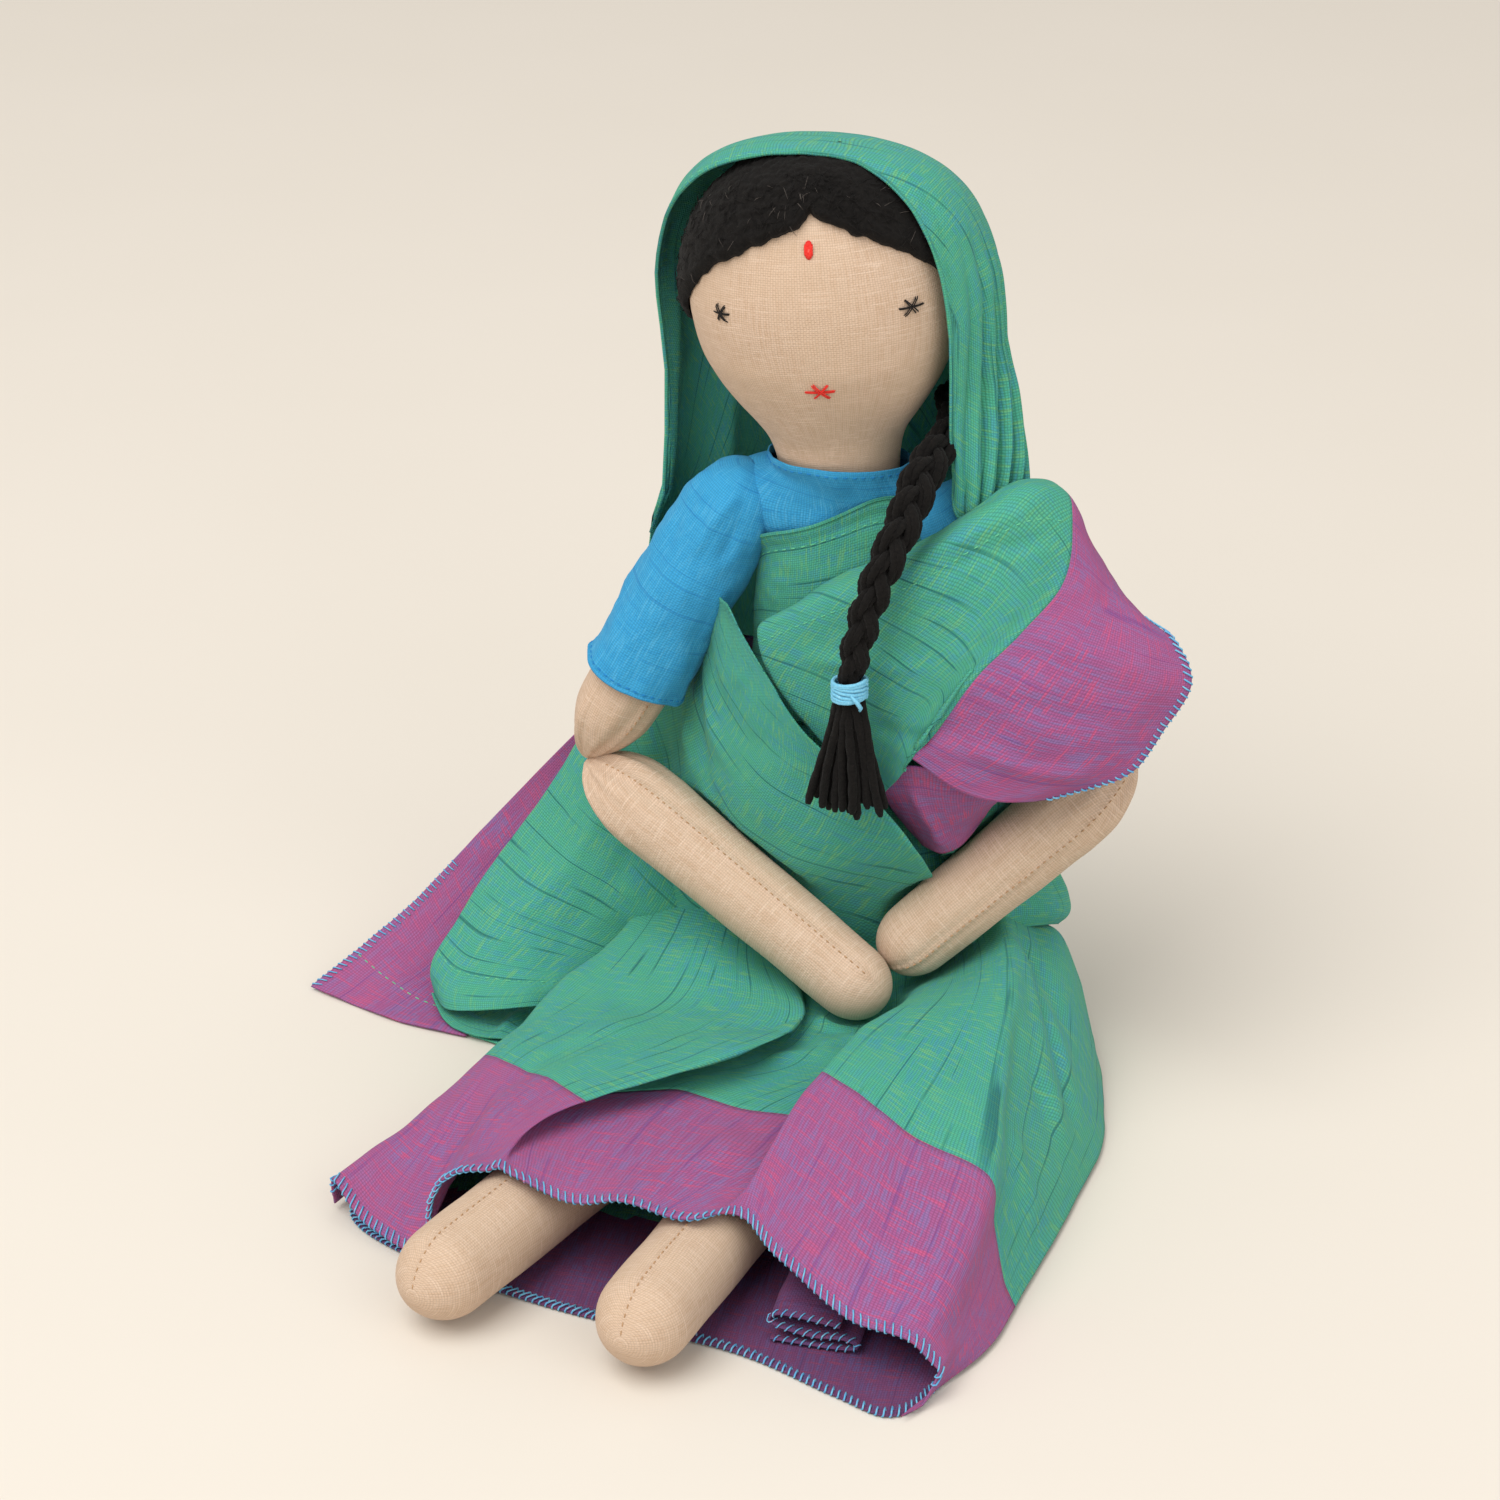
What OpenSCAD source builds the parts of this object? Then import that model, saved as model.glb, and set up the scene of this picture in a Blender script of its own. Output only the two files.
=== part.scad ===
// Seated stuffed cloth doll in a handloom sari, with sewn shoulder, elbow and hip joints.
// Millimetres. The doll faces -Y, its right is -X, and the cloth that it sits on lies on Z = 0.

/* [Body] */
// Width of the torso across the hips
torso_w = 74; // [62:1:90]
// Depth of the torso from chest to back
torso_d = 38; // [32:1:44]
// Height of the torso from seat to neck seam
torso_h = 182; // [170:1:196]
// Thickness of the cotton skin
skin_t = 0.6; // [0.4:0.1:0.8]

/* [Head] */
// Width of the head across the side seams
head_w = 76; // [64:1:92]
// Depth of the head from face to back
head_d = 58; // [48:1:70]
// Height of the head from neck seam to crown
head_h = 92; // [78:1:110]
// Turn of the head towards its left
head_turn = 7; // [0:1:12]
// Lean of the head towards its right
head_lean = 5; // [0:1:8]
// Thickness of the felted wool hair
hair_t = 2.4; // [1.6:0.1:3]

/* [Arms] */
// Width of an arm
arm_d = 25; // [21:0.5:30]
// Half the distance between the shoulder seams, past the neck
shoulder_out = 33; // [33:1:40]
// Length of the short blouse sleeves
sleeve_l = 63; // [50:1:72]

/* [Legs] */
// Width of a leg
leg_d = 28; // [23:1:34]
// Length of a leg from hip seam to toe
leg_l = 168; // [150:1:176]
// Distance between the two hip seams
hip_gap = 36; // [34:1:42]

/* [Braid] */
// Thickness of the plaited yarn braid
braid_d = 13.5; // [11:0.5:14.5]
// Length of the loose tassel below the tie
tassel_l = 34; // [26:1:40]

/* [Sari] */
// Thickness of the woven cloth as modelled
cloth_t = 1; // [0.8:0.1:1.2]
// Clear space kept between neighbouring pieces
gap = 0.6; // [0.5:0.1:0.8]

/* [Hidden] */

cotton = "#cdb592";
filling = "#f2efe8";
wool = "#1d1a19";
blue = "#2c96d2";
green = "#2e9f80";
purple = "#9c5596";
red = "#d8392e";
thread_blue = "#7fc6df";

// Where the layers lie over the torso, measured out from its skin
blouse_out = gap + cloth_t;
wrap_out = blouse_out + gap + 1.2 * cloth_t;
torso_y = 6; // the torso's middle lies a little behind the origin
lap_h = 1.3 * cloth_t + gap + leg_d + gap + cloth_t; // top of the cloth over the thighs
stuff_gap = 0.15; // between a skin and what fills it

// Torso outline: height, then width and depth as shares of the hips
torso_rows = [[0.012, 0.92, 0.9], [0.06, 1.0, 1.03], [0.2, 1.02, 1.04], [0.4, 0.9, 1.0],
    [0.55, 0.8, 0.96], [0.7, 0.72, 0.93], [0.85, 0.68, 0.86], [0.92, 0.62, 0.76],
    [0.965, 0.52, 0.66], [1.0, 0.48, 0.62]];
// Head outline: height, then width and depth as shares of the widest place
head_rows = [[0, 0.44, 0.46], [0.06, 0.46, 0.48], [0.13, 0.51, 0.53], [0.19, 0.61, 0.62],
    [0.25, 0.72, 0.72], [0.33, 0.84, 0.84], [0.42, 0.94, 0.94], [0.55, 1, 1], [0.66, 0.985, 0.99],
    [0.77, 0.91, 0.93], [0.86, 0.77, 0.8], [0.93, 0.58, 0.6], [0.975, 0.35, 0.37], [1, 0.06, 0.06]];
neck_z = torso_h + 3;
head_at = [-3, 3, neck_z];
// Hairline: angle about the head, then height up it; the face is at 270 degrees
hairline = [[0, 0.50], [30, 0.36], [60, 0.25], [90, 0.22], [120, 0.25], [150, 0.36], [180, 0.50],
    [198, 0.61], [220, 0.73], [245, 0.81], [262, 0.85], [272, 0.89], [282, 0.86], [300, 0.81],
    [322, 0.73], [342, 0.61], [360, 0.50]];

// Arms: the hands meet on the lap, one arm's width apart
hand_r = 0.45 * arm_d;
right_shoulder = [-shoulder_out, 0, torso_h - 8];
left_shoulder = [shoulder_out, 0, torso_h - 8];
right_elbow = right_shoulder + [-43, -10, -84];
left_elbow = left_shoulder + [52, 3, -69];
hand_z = lap_h + hand_r + 2 * gap;
right_hand = [12, -39, hand_z];
left_hand = right_hand + (2 * hand_r + 1.5) * unit([16, 16, 8]);

// Legs: they lie on the cloth and spread a little towards the feet
leg_z = 1.2 + gap + leg_d / 2;
right_hip = [-hip_gap / 2, torso_y - 0.52 * torso_d - 8, leg_z];
left_hip = [hip_gap / 2, right_hip[1], leg_z];
right_leg_way = [-0.32, -0.947, 0];
left_leg_way = [-0.183, -0.983, 0];

// Braid route: from behind the neck, over the shoulder and down the chest
braid_route = [[23, 20, 205], [27, 11, 204], [29, 1, 202], [28.5, -9, 200.5], [26.5, -19, 197.5], [25, -27, 192.5],
    [23.5, -34, 186.5], [20.5, -40, 178], [17.5, -43, 169], [15, -45, 159], [13, -46, 149], [12, -46, 143]];
tie_l = 5;

// Smooth curve through points, k steps a span
function unit(v) = v / norm(v);
function at(p, i) = p[max(0, min(len(p) - 1, i))];
function ease(a, b, c, d, t) =
    0.5 * (2 * b + (c - a) * t + (2 * a - 5 * b + 4 * c - d) * t * t + (3 * b - a - 3 * c + d) * t * t * t);
function curve(p, k) = [
    for (i = [0 : len(p) - 2], s = [0 : k - 1]) ease(at(p, i - 1), p[i], p[i + 1], at(p, i + 2), s / k),
    p[len(p) - 1]];
function turned(g) = [for (j = [0 : len(g[0]) - 1]) [for (row = g) row[j]]];
function smooth(rows, k, m) = turned([for (c = turned([for (r = rows) curve(r, m)])) curve(c, k)]);

// Value of a table at x, and a torso or head section at height h
function share(table, x, c) = lookup(x, [for (r = table) [r[0], r[c]]]);
function torso_ring(h, out, a) = [
    (torso_w / 2 * share(torso_rows, h, 1) + out) * cos(a),
    torso_y + (torso_d / 2 * share(torso_rows, h, 2) + out) * sin(a),
    h * torso_h];
function head_ring(h, out, a) = [
    (head_w / 2 * share(head_rows, h, 1) + out) * cos(a),
    (head_d / 2 * share(head_rows, h, 2) + out) * sin(a),
    h * head_h];

// Sheet of cloth: a grid of points on its outer face, rows running down and columns running to the left
module sheet(g, t, ring = false) {
    n = len(g);
    m = len(g[0]);
    wide = ring ? m : m - 1;
    size = n * m;
    function next(j) = (j + 1) % m;
    function side(i, j, d) = ring ? g[i][(j + d + m) % m] : at(g[i], j + d);
    function out(i, j) = unit(cross(at(g, i + 1)[j] - at(g, i - 1)[j], side(i, j, 1) - side(i, j, -1)));
    points = concat([for (r = g, p = r) p], [for (i = [0 : n - 1], j = [0 : m - 1]) g[i][j] - t * out(i, j)]);
    front = [for (i = [0 : n - 2], j = [0 : wide - 1]) [i * m + j, i * m + next(j), (i + 1) * m + next(j), (i + 1) * m + j]];
    outer = [for (f = front) each [[f[0], f[1], f[2]], [f[0], f[2], f[3]]]];
    inner = [for (f = outer) [f[0] + size, f[2] + size, f[1] + size]];
    function wall(a, b) = [[b, a, a + size], [b, a + size, b + size]];
    last = (n - 1) * m;
    ends = [for (j = [0 : wide - 1]) each concat(wall(j, next(j)), wall(last + next(j), last + j))];
    sides = ring ? [] : [for (i = [0 : n - 2]) each
        concat(wall((i + 1) * m, i * m), wall(i * m + m - 1, (i + 1) * m + m - 1))];
    polyhedron(points, concat(outer, inner, ends, sides));
}

// Solid through rings of points that run down it
module loft(rings) {
    n = len(rings);
    m = len(rings[0]);
    function next(j) = (j + 1) % m;
    walls = [for (i = [0 : n - 2], j = [0 : m - 1]) each [
        [i * m + j, i * m + next(j), (i + 1) * m + next(j)],
        [i * m + j, (i + 1) * m + next(j), (i + 1) * m + j]]];
    lid = [[for (j = [m - 1 : -1 : 0]) j], [for (j = [0 : m - 1]) (n - 1) * m + j]];
    polyhedron([for (r = rings, p = r) p], concat(walls, lid));
}

// Places what is drawn along +Z so that it starts at p and points along way
module along(p, way) {
    translate(p) rotate([0, acos(way[2] / norm(way)), atan2(way[1], way[0])]) children();
}

// Limb outline from its sewn end, drawn in by t all round: [distance, radius]
// A limb with a tip ends in a round hand or foot, and one without narrows again to the next seam
function narrow_end(r) = [[3, 1.8], [7, 0.24 * r + 1.5], [12, 0.58 * r], [20, 0.88 * r], [30, r]];
function seam_end(r, t) = curve([for (p = narrow_end(r)) [max(p[1] - t, 0.5), p[0]]], 3);
function limb_rows(l, r, tip, t) = concat(seam_end(r, t), tip > 0
    ? [for (a = [0 : 10 : 90]) [(tip - t) * cos(a), l + (tip - t) * sin(a)]]
    : let (far = seam_end(0.96 * r, t)) [for (i = [len(far) - 1 : -1 : 0]) [far[i][0], l - far[i][1]]]);
module limb_skin(l, r, tip = 0) {
    outside = limb_rows(l, r, tip, 0);
    inside = limb_rows(l, r, tip, skin_t);
    rotate_extrude($fn = 48) polygon(concat(outside, [for (i = [len(inside) - 1 : -1 : 0]) inside[i]]));
}
module limb_stuffing(l, r, tip = 0) {
    fill = limb_rows(l, r, tip, skin_t + stuff_gap);
    low = 3; // the filling stops short of each seam
    high = tip > 0 ? len(fill) - 1 : len(fill) - 1 - low;
    rotate_extrude($fn = 48) polygon(concat([[0, fill[low][1]]], [for (i = [low : high]) fill[i]],
        tip > 0 ? [] : [[0, fill[high][1]]]));
}

upper_right_l = norm(right_elbow - right_shoulder);
upper_left_l = norm(left_elbow - left_shoulder);
fore_right_l = norm(right_hand - right_elbow);
fore_left_l = norm(left_hand - left_elbow);
arm_r = arm_d / 2;
leg_r = leg_d / 2;
foot_r = 0.93 * leg_r;

// Torso and head
torso_top = 0.985;
function torso_half(from, to) = [for (h = [torso_top : -0.04 : 0.03])
    [for (a = [from : (to - from) / 16 : to]) torso_ring(h, 0, a)]];
module torso_front_panel() { color(cotton) sheet(torso_half(181, 359), skin_t); }
module torso_back_panel() { color(cotton) sheet(torso_half(1, 179), skin_t); }
module torso_stuffing() {
    color(filling) loft([for (h = [0.97 : -0.06 : 0.04])
        [for (a = [0 : 15 : 345]) torso_ring(h, -skin_t - 4 * stuff_gap, a)]]);
}
module on_head() { translate(head_at) rotate([0, -head_lean, head_turn]) children(); }
head_steps = [0.995, 0.975, 0.95, 0.91, 0.86, 0.8, 0.72, 0.64, 0.55, 0.46, 0.38, 0.3, 0.22, 0.14, 0.07, 0.01];
module head_front_panel() {
    color(cotton) on_head() sheet([for (h = head_steps) [for (a = [181 : 178 / 16 : 359]) head_ring(h, 0, a)]], skin_t);
}
module head_back_panel() {
    color(cotton) on_head() sheet([for (h = head_steps) [for (a = [1 : 178 / 16 : 179]) head_ring(h, 0, a)]], skin_t);
}
module head_stuffing() {
    color(filling) on_head() loft([for (h = [for (s = head_steps) if (s < 0.96) s])
        [for (a = [0 : 15 : 345]) head_ring(h - 0.006, -skin_t - 5 * stuff_gap, a)]]);
}
module hair_cap() {
    over = hair_t + gap;
    function edge(a) = lookup(a % 360, hairline);
    color(wool) on_head() sheet([for (s = [0.06 : 0.0783 : 1])
        [for (a = [0 : 10 : 350]) let (h = 1 - (1 - edge(a)) * s * s)
            head_ring(h, over, a) + [0, 0, over * h * h * h]]], hair_t, ring = true);
}
// Point on the face at distance x from its middle and share h of its height, and the way it looks
function face_y(x, h) = -head_d / 2 * share(head_rows, h, 2) * sqrt(1 - pow(2 * x / head_w / share(head_rows, h, 1), 2));
function face_turn(x, h) = atan2(x * pow(head_d, 2), -face_y(x, h) * pow(head_w, 2));
module on_face(x, h) { on_head() translate([x, face_y(x, h), h * head_h]) rotate([90, 0, face_turn(x, h)]) children(); }
thread_d = 0.9;
module star_stitch(wide, tall) {
    for (a = [0, 60, 120])
        rotate([0, 0, a]) translate([0, 0, thread_d / 2 - 0.15])
            cube([a == 0 ? wide : sqrt(pow(wide * cos(a), 2) + pow(tall * 1.1, 2)), thread_d, thread_d], center = true);
}
eye_out = 0.34 * head_w;
module right_eye_stitch() { color(wool) on_face(-eye_out, 0.6) star_stitch(5.4, 4.8); }
module left_eye_stitch() { color(wool) on_face(eye_out, 0.6) star_stitch(5.8, 5); }
module mouth_stitch() { color(red) on_face(0, 0.36) star_stitch(8.6, 4.2); }
module bindi_stitch() {
    color(red) on_face(0, 0.8) translate([0, 0, -0.3]) linear_extrude(1.1) scale([1.3, 2.4]) circle(1, $fn = 24);
}

// Blouse
module blouse_body() {
    color(blue) sheet([for (h = [1.0 : -0.045 : 0.58]) [for (a = [0 : 12 : 348]) torso_ring(h, blouse_out, a)]],
        cloth_t, ring = true);
}
sleeve_r = arm_r + gap + cloth_t + 1;
sleeve_rows = [[0, 4.2], [6, 0.4 * sleeve_r + 2], [13, 0.78 * sleeve_r], [24, 0.96 * sleeve_r], [sleeve_l, sleeve_r]];
module sleeve() {
    outside = [for (p = curve(sleeve_rows, 4)) [p[1], p[0]]];
    inside = [for (i = [len(outside) - 1 : -1 : 0]) outside[i] - [cloth_t, 0]];
    rotate_extrude($fn = 48) polygon(concat(outside, inside));
}
module blouse_right_sleeve() { color(blue) along(right_shoulder, right_elbow - right_shoulder) sleeve(); }
module blouse_left_sleeve() { color(blue) along(left_shoulder, left_elbow - left_shoulder) sleeve(); }

// Arms
module right_upper_arm() { along(right_shoulder, right_elbow - right_shoulder) children(); }
module left_upper_arm() { along(left_shoulder, left_elbow - left_shoulder) children(); }
module right_forearm() { along(right_elbow, right_hand - right_elbow) children(); }
module left_forearm() { along(left_elbow, left_hand - left_elbow) children(); }
module right_upper_arm_skin() { color(cotton) right_upper_arm() limb_skin(upper_right_l, arm_r); }
module right_upper_arm_stuffing() { color(filling) right_upper_arm() limb_stuffing(upper_right_l, arm_r); }
module left_upper_arm_skin() { color(cotton) left_upper_arm() limb_skin(upper_left_l, arm_r); }
module left_upper_arm_stuffing() { color(filling) left_upper_arm() limb_stuffing(upper_left_l, arm_r); }
module right_forearm_skin() { color(cotton) right_forearm() limb_skin(fore_right_l, arm_r, hand_r); }
module right_forearm_stuffing() {
    color(filling) right_forearm() limb_stuffing(fore_right_l, arm_r, hand_r);
}
module left_forearm_skin() { color(cotton) left_forearm() limb_skin(fore_left_l, arm_r, hand_r); }
module left_forearm_stuffing() {
    color(filling) left_forearm() limb_stuffing(fore_left_l, arm_r, hand_r);
}

// Legs
module right_leg_skin() { color(cotton) along(right_hip, right_leg_way) limb_skin(leg_l - foot_r, leg_r, foot_r); }
module right_leg_stuffing() { color(filling) along(right_hip, right_leg_way) limb_stuffing(leg_l - foot_r, leg_r, foot_r); }
module left_leg_skin() { color(cotton) along(left_hip, left_leg_way) limb_skin(leg_l - foot_r, leg_r, foot_r); }
module left_leg_stuffing() { color(filling) along(left_hip, left_leg_way) limb_stuffing(leg_l - foot_r, leg_r, foot_r); }

// Braid
braid_path = curve(braid_route, 2);
function way_at(p, i) = unit(at(p, i + 1) - at(p, i - 1));
function around(p, w, r, sides) = let (u = unit(cross(w, [1, 0, 0])), v = cross(u, w))
    [for (a = [0 : 360 / sides : 359]) p + r * (cos(a) * u + sin(a) * v)];
module braid_tube(from, to, start = 0) {
    loft([for (i = [from : to]) around(braid_path[i] + (i == from ? start : 0) * way_at(braid_path, i),
        way_at(braid_path, i), braid_d / 2, 12)]);
}
braid_bend = 8; // point of the path where the braid leaves the shoulder and starts to swing
module braid_root() { color(wool) braid_tube(0, braid_bend); }
module hair_braid() { color(wool) braid_tube(braid_bend, len(braid_path) - 1, gap); }
braid_end = braid_route[len(braid_route) - 1];
end_way = way_at(braid_path, len(braid_path) - 1);
tie_end = braid_end + tie_l * end_way;
module braid_tie() { color(thread_blue) along(braid_end, end_way) cylinder(h = tie_l, d = braid_d + 0.6, $fn = 32); }
module braid_tassel() {
    function tuft(s) = [for (a = [0 : 15 : 345]) [(6.2 + 7.3 * s) * cos(a), 5.2 * sin(a), 0]
        + tie_end + [0, 0, -tassel_l * s]];
    color(wool) loft([for (s = [0 : 0.25 : 1]) tuft(s)]);
}

// Sari: the cloth under the doll, then the skirt from waist to hem; heights are shares of the lap
side_z = 1.2 + gap + cloth_t;
function lap(rows) = [for (r = rows) [for (p = r) [p[0], p[1], max(side_z, p[2] * lap_h)]]];
skirt_rows = [
    [[-62, 14, 0.05], [-60, 10, 0.5], [-53, 0, 0.98], [-34, -15, 1.02], [-14, -20, 1], [8, -20, 1],
        [26, -18, 1.02], [44, -8, 1.1], [62, 4, 1.12], [76, 14, 0.7], [84, 18, 0.05]],
    [[-84, -30, 0.05], [-80, -34, 0.5], [-72, -44, 0.96], [-50, -46, 1.04], [-26, -48, 1.02], [-4, -50, 1],
        [14, -50, 1], [34, -42, 1.06], [58, -34, 1.08], [80, -34, 0.7], [89, -34, 0.05]],
    [[-98, -62, 0.05], [-95, -68, 0.46], [-86, -76, 0.84], [-64, -78, 1.03], [-38, -80, 1.03], [-14, -84, 1],
        [8, -86, 1], [28, -82, 1.02], [52, -74, 0.92], [76, -66, 0.56], [88, -62, 0.05]],
    [[-108, -86, 0.05], [-106, -94, 0.4], [-96, -102, 0.66], [-72, -102, 1.02], [-46, -103, 1.04],
        [-20, -106, 1.01], [4, -108, 1.01], [24, -106, 1.0], [48, -100, 0.76], [70, -96, 0.4], [84, -92, 0.05]],
    [[-118, -112, 0.05], [-117, -119, 0.25], [-106, -126, 0.4], [-82, -126, 0.98], [-56, -126, 1.05],
        [-28, -130, 1.02], [0, -130, 1.02], [20, -128, 0.94], [44, -126, 0.56], [64, -124, 0.28], [79, -122, 0.05]],
    [[-116, -130, 0.05], [-114, -134, 0.14], [-100, -142, 0.24], [-82, -144, 0.8], [-57, -145, 1.06],
        [-30, -151, 1.07], [-4, -152, 1.06], [14, -144, 0.93], [34, -150, 0.4], [54, -162, 0.2], [66, -172, 0.05]]];
skirt_grid = smooth(lap(skirt_rows), 4, 3);
border_from = 12; // grid row where the woven border starts
module sari_underlay() {
    color(green) linear_extrude(1.2) polygon([for (p = curve([[-58, 24], [-62, 10], [-78, -30], [-92, -66], [-104, -100],
        [-108, -128], [-80, -146], [-40, -158], [10, -160], [50, -166], [62, -160], [76, -118], [85, -60], [84, -30],
        [78, 10], [56, 34], [0, 40], [-40, 34]], 2)) p]);
}
module sari_skirt() { color(green) sheet([for (i = [0 : border_from]) skirt_grid[i]], cloth_t); }
module sari_skirt_border() {
    // the border starts a hair below the green so that the two meet edge to edge
    function start(j) = skirt_grid[border_from][j] + 0.15 * unit(skirt_grid[border_from + 1][j] - skirt_grid[border_from][j]);
    first = [for (j = [0 : len(skirt_grid[0]) - 1]) start(j)];
    color(purple) sheet(concat([first], [for (i = [border_from + 1 : len(skirt_grid) - 1]) skirt_grid[i]]), cloth_t);
}
// Behind, the skirt spreads from the hips to the floor
back_rows = [
    [[52, 4, 0.95], [44, 18, 0.98], [30, 30, 1], [0, 35, 1], [-30, 30, 1], [-44, 18, 0.98], [-50, 8, 0.95]],
    [[66, 12, 0.5], [56, 28, 0.5], [32, 38, 0.5], [0, 42, 0.5], [-30, 38, 0.5], [-48, 26, 0.5], [-58, 16, 0.5]],
    [[80, 21, 0.05], [66, 38, 0.05], [36, 47, 0.05], [0, 50, 0.05], [-32, 46, 0.05], [-52, 33, 0.05], [-63, 18, 0.05]]];
module sari_back_skirt() { color(green) sheet(smooth(lap(back_rows), 4, 3), cloth_t); }
wrap_low = lap_h * 1.12 + gap + 1;
wrap_high = 112;
module sari_waist_wrap() {
    color(green) sheet([for (s = [1 : -0.125 : 0]) [for (a = [0 : 12 : 348])
        torso_ring((wrap_low + (wrap_high - wrap_low) * s) / torso_h, wrap_out, a)]], cloth_t, ring = true);
}
band_top = [[185, 158], [220, 166], [250, 172], [270, 176], [300, 181], [332, 180]];
module sari_chest_band() {
    color(green) sheet([for (s = [0 : 0.125 : 1]) [for (a = [185 : 7 : 332])
        torso_ring((lookup(a, band_top) * (1 - s) + (wrap_high + 1) * s) / torso_h, wrap_out, a)]], cloth_t);
}
pallu_rows = [
    [[-20, -30, 144], [4, -32, 162], [25, -32, 172], [44, -27, 181], [64, -10, 184]],
    [[-11, -32, 131], [9, -34, 147], [28, -35, 156], [46, -31, 163], [64, -17, 169]],
    [[0, -33, 119], [12, -35, 131], [27, -37, 140], [40, -36, 147], [54, -29, 155]],
    [[17, -35, 104], [20, -36, 112], [25, -38, 120], [32, -38, 128], [42, -36, 138]]];
module sari_pallu() { color(green) sheet(smooth(pallu_rows, 3, 3), cloth_t); }
// The border end hangs over the left arm and moves with it
flap_rows = [
    [[66, -8, 183], [74, -4, 174], [80, -4, 162]],
    [[66, -17, 167], [79, -14, 160], [92, -9, 152]],
    [[56, -29, 153], [77, -24, 144], [101, -14, 138]],
    [[44, -37, 136], [66, -33, 128], [94, -18, 122]],
    [[34, -39, 126], [56, -36, 117], [84, -24, 113]],
    [[27, -39, 118], [41, -39, 107], [62, -35, 114]]];
module sari_pallu_border() { color(purple) sheet(smooth(flap_rows, 3, 4), cloth_t); }
module sari_shoulder_pleats() {
    rows = smooth([
        [[33, -12, 214], [40, -4, 214], [42, 6, 214], [38, 18, 214]],
        [[35, -16, 201], [46, -8, 202], [51, 4, 204], [46, 18, 202]],
        [[37, -20, 190], [50, -14, 193], [59, 0, 197], [55, 16, 193]]], 4, 12);
    pleat = 1.8;
    function ripple(i, j) = pleat * sin(j * 45) * (0.5 + i / len(rows) / 2);
    color(green) sheet([for (i = [0 : len(rows) - 1]) [for (j = [0 : len(rows[0]) - 1])
        rows[i][j] + ripple(i, j) * unit([rows[i][j][0] - 20, rows[i][j][1] + 4, 0])]], cloth_t);
}
// Veil: a hood about the head; angle, then height of its lower edge, with the face at 270 degrees
veil_at = [-9, 9];
veil_top = neck_z + head_h + hair_t + 5;
veil_rows = [[0, 0.04, 0.04], [1.5, 0.36, 0.38], [6, 0.62, 0.66], [14, 0.82, 0.86], [26, 0.94, 0.97], [45, 1, 1],
    [80, 1.0, 0.98], [110, 1.04, 0.94], [140, 1.2, 0.98], [240, 1.3, 1.05]];
veil_edge = [[0, 218], [18, 218], [34, 190], [50, 120], [70, 96], [110, 86], [135, 106], [152, 114], [164, 128],
    [172, 150], [182, 184], [196, 205], [210, 228], [222, 248], [236, 266], [252, 276], [270, 279],
    [288, 276], [304, 266], [318, 248], [330, 228], [342, 218], [360, 218]];
veil_rx = head_w / 2 + hair_t + 8;
veil_ry = head_d / 2 + hair_t + 6;
module sari_veil() {
    function drop(a, s) = (veil_top - lookup(a, veil_edge) * veil_top / 287.4) * s * s;
    color(green) sheet([for (s = [0 : 0.0625 : 1]) [for (a = [0 : 9 : 351]) let (d = drop(a, s))
        [veil_at[0] + veil_rx * share(veil_rows, d, 1) * cos(a),
         veil_at[1] + veil_ry * share(veil_rows, d, 2) * sin(a), veil_top - d]]], cloth_t, ring = true);
}
fold_rows = [
    [[-84, 17, 84], [-74, 9, 76], [-63, 5, 68], [-53, 4, 60]],
    [[-103, 6, 55], [-91, -3, 50], [-77, -4, 47], [-65, 0, 45]],
    [[-120, -4, 24], [-107, -13, 25], [-93, -14, 26], [-79, -8, 27]],
    [[-131, -12, 10], [-120, -22, 7], [-107, -24, 7], [-94, -18, 9]]];
module sari_hip_fold() { color(green) sheet(smooth(fold_rows, 4, 4), cloth_t); }
train_rows = [
    [[-70, 27, 104], [-59, 30, 98], [-50, 34, 92]],
    [[-92, 25, 78], [-80, 25, 66], [-68, 27, 58]],
    [[-116, 21, 50], [-104, 14, 34], [-90, 14, 26]],
    [[-142, 9, 20], [-126, -3, 6], [-106, -6, 5]],
    [[-165, -17, 1.4], [-134, -29, 1.4], [-104, -34, 1.4]]];
module sari_train_border() { color(purple) sheet(smooth(train_rows, 4, 5), cloth_t); }

torso_front_panel();
torso_back_panel();
torso_stuffing();
head_front_panel();
head_back_panel();
head_stuffing();
hair_cap();
right_eye_stitch();
left_eye_stitch();
mouth_stitch();
bindi_stitch();
blouse_body();
blouse_right_sleeve();
blouse_left_sleeve();
right_upper_arm_skin();
right_upper_arm_stuffing();
right_forearm_skin();
right_forearm_stuffing();
left_upper_arm_skin();
left_upper_arm_stuffing();
left_forearm_skin();
left_forearm_stuffing();
right_leg_skin();
right_leg_stuffing();
left_leg_skin();
left_leg_stuffing();
braid_root();
hair_braid();
braid_tie();
braid_tassel();
sari_underlay();
sari_skirt();
sari_skirt_border();
sari_back_skirt();
sari_waist_wrap();
sari_chest_band();
sari_pallu();
sari_pallu_border();
sari_shoulder_pleats();
sari_veil();
sari_hip_fold();
sari_train_border();
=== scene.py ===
import math
import random
import bpy
import numpy as np
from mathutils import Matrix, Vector, noise


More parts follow.
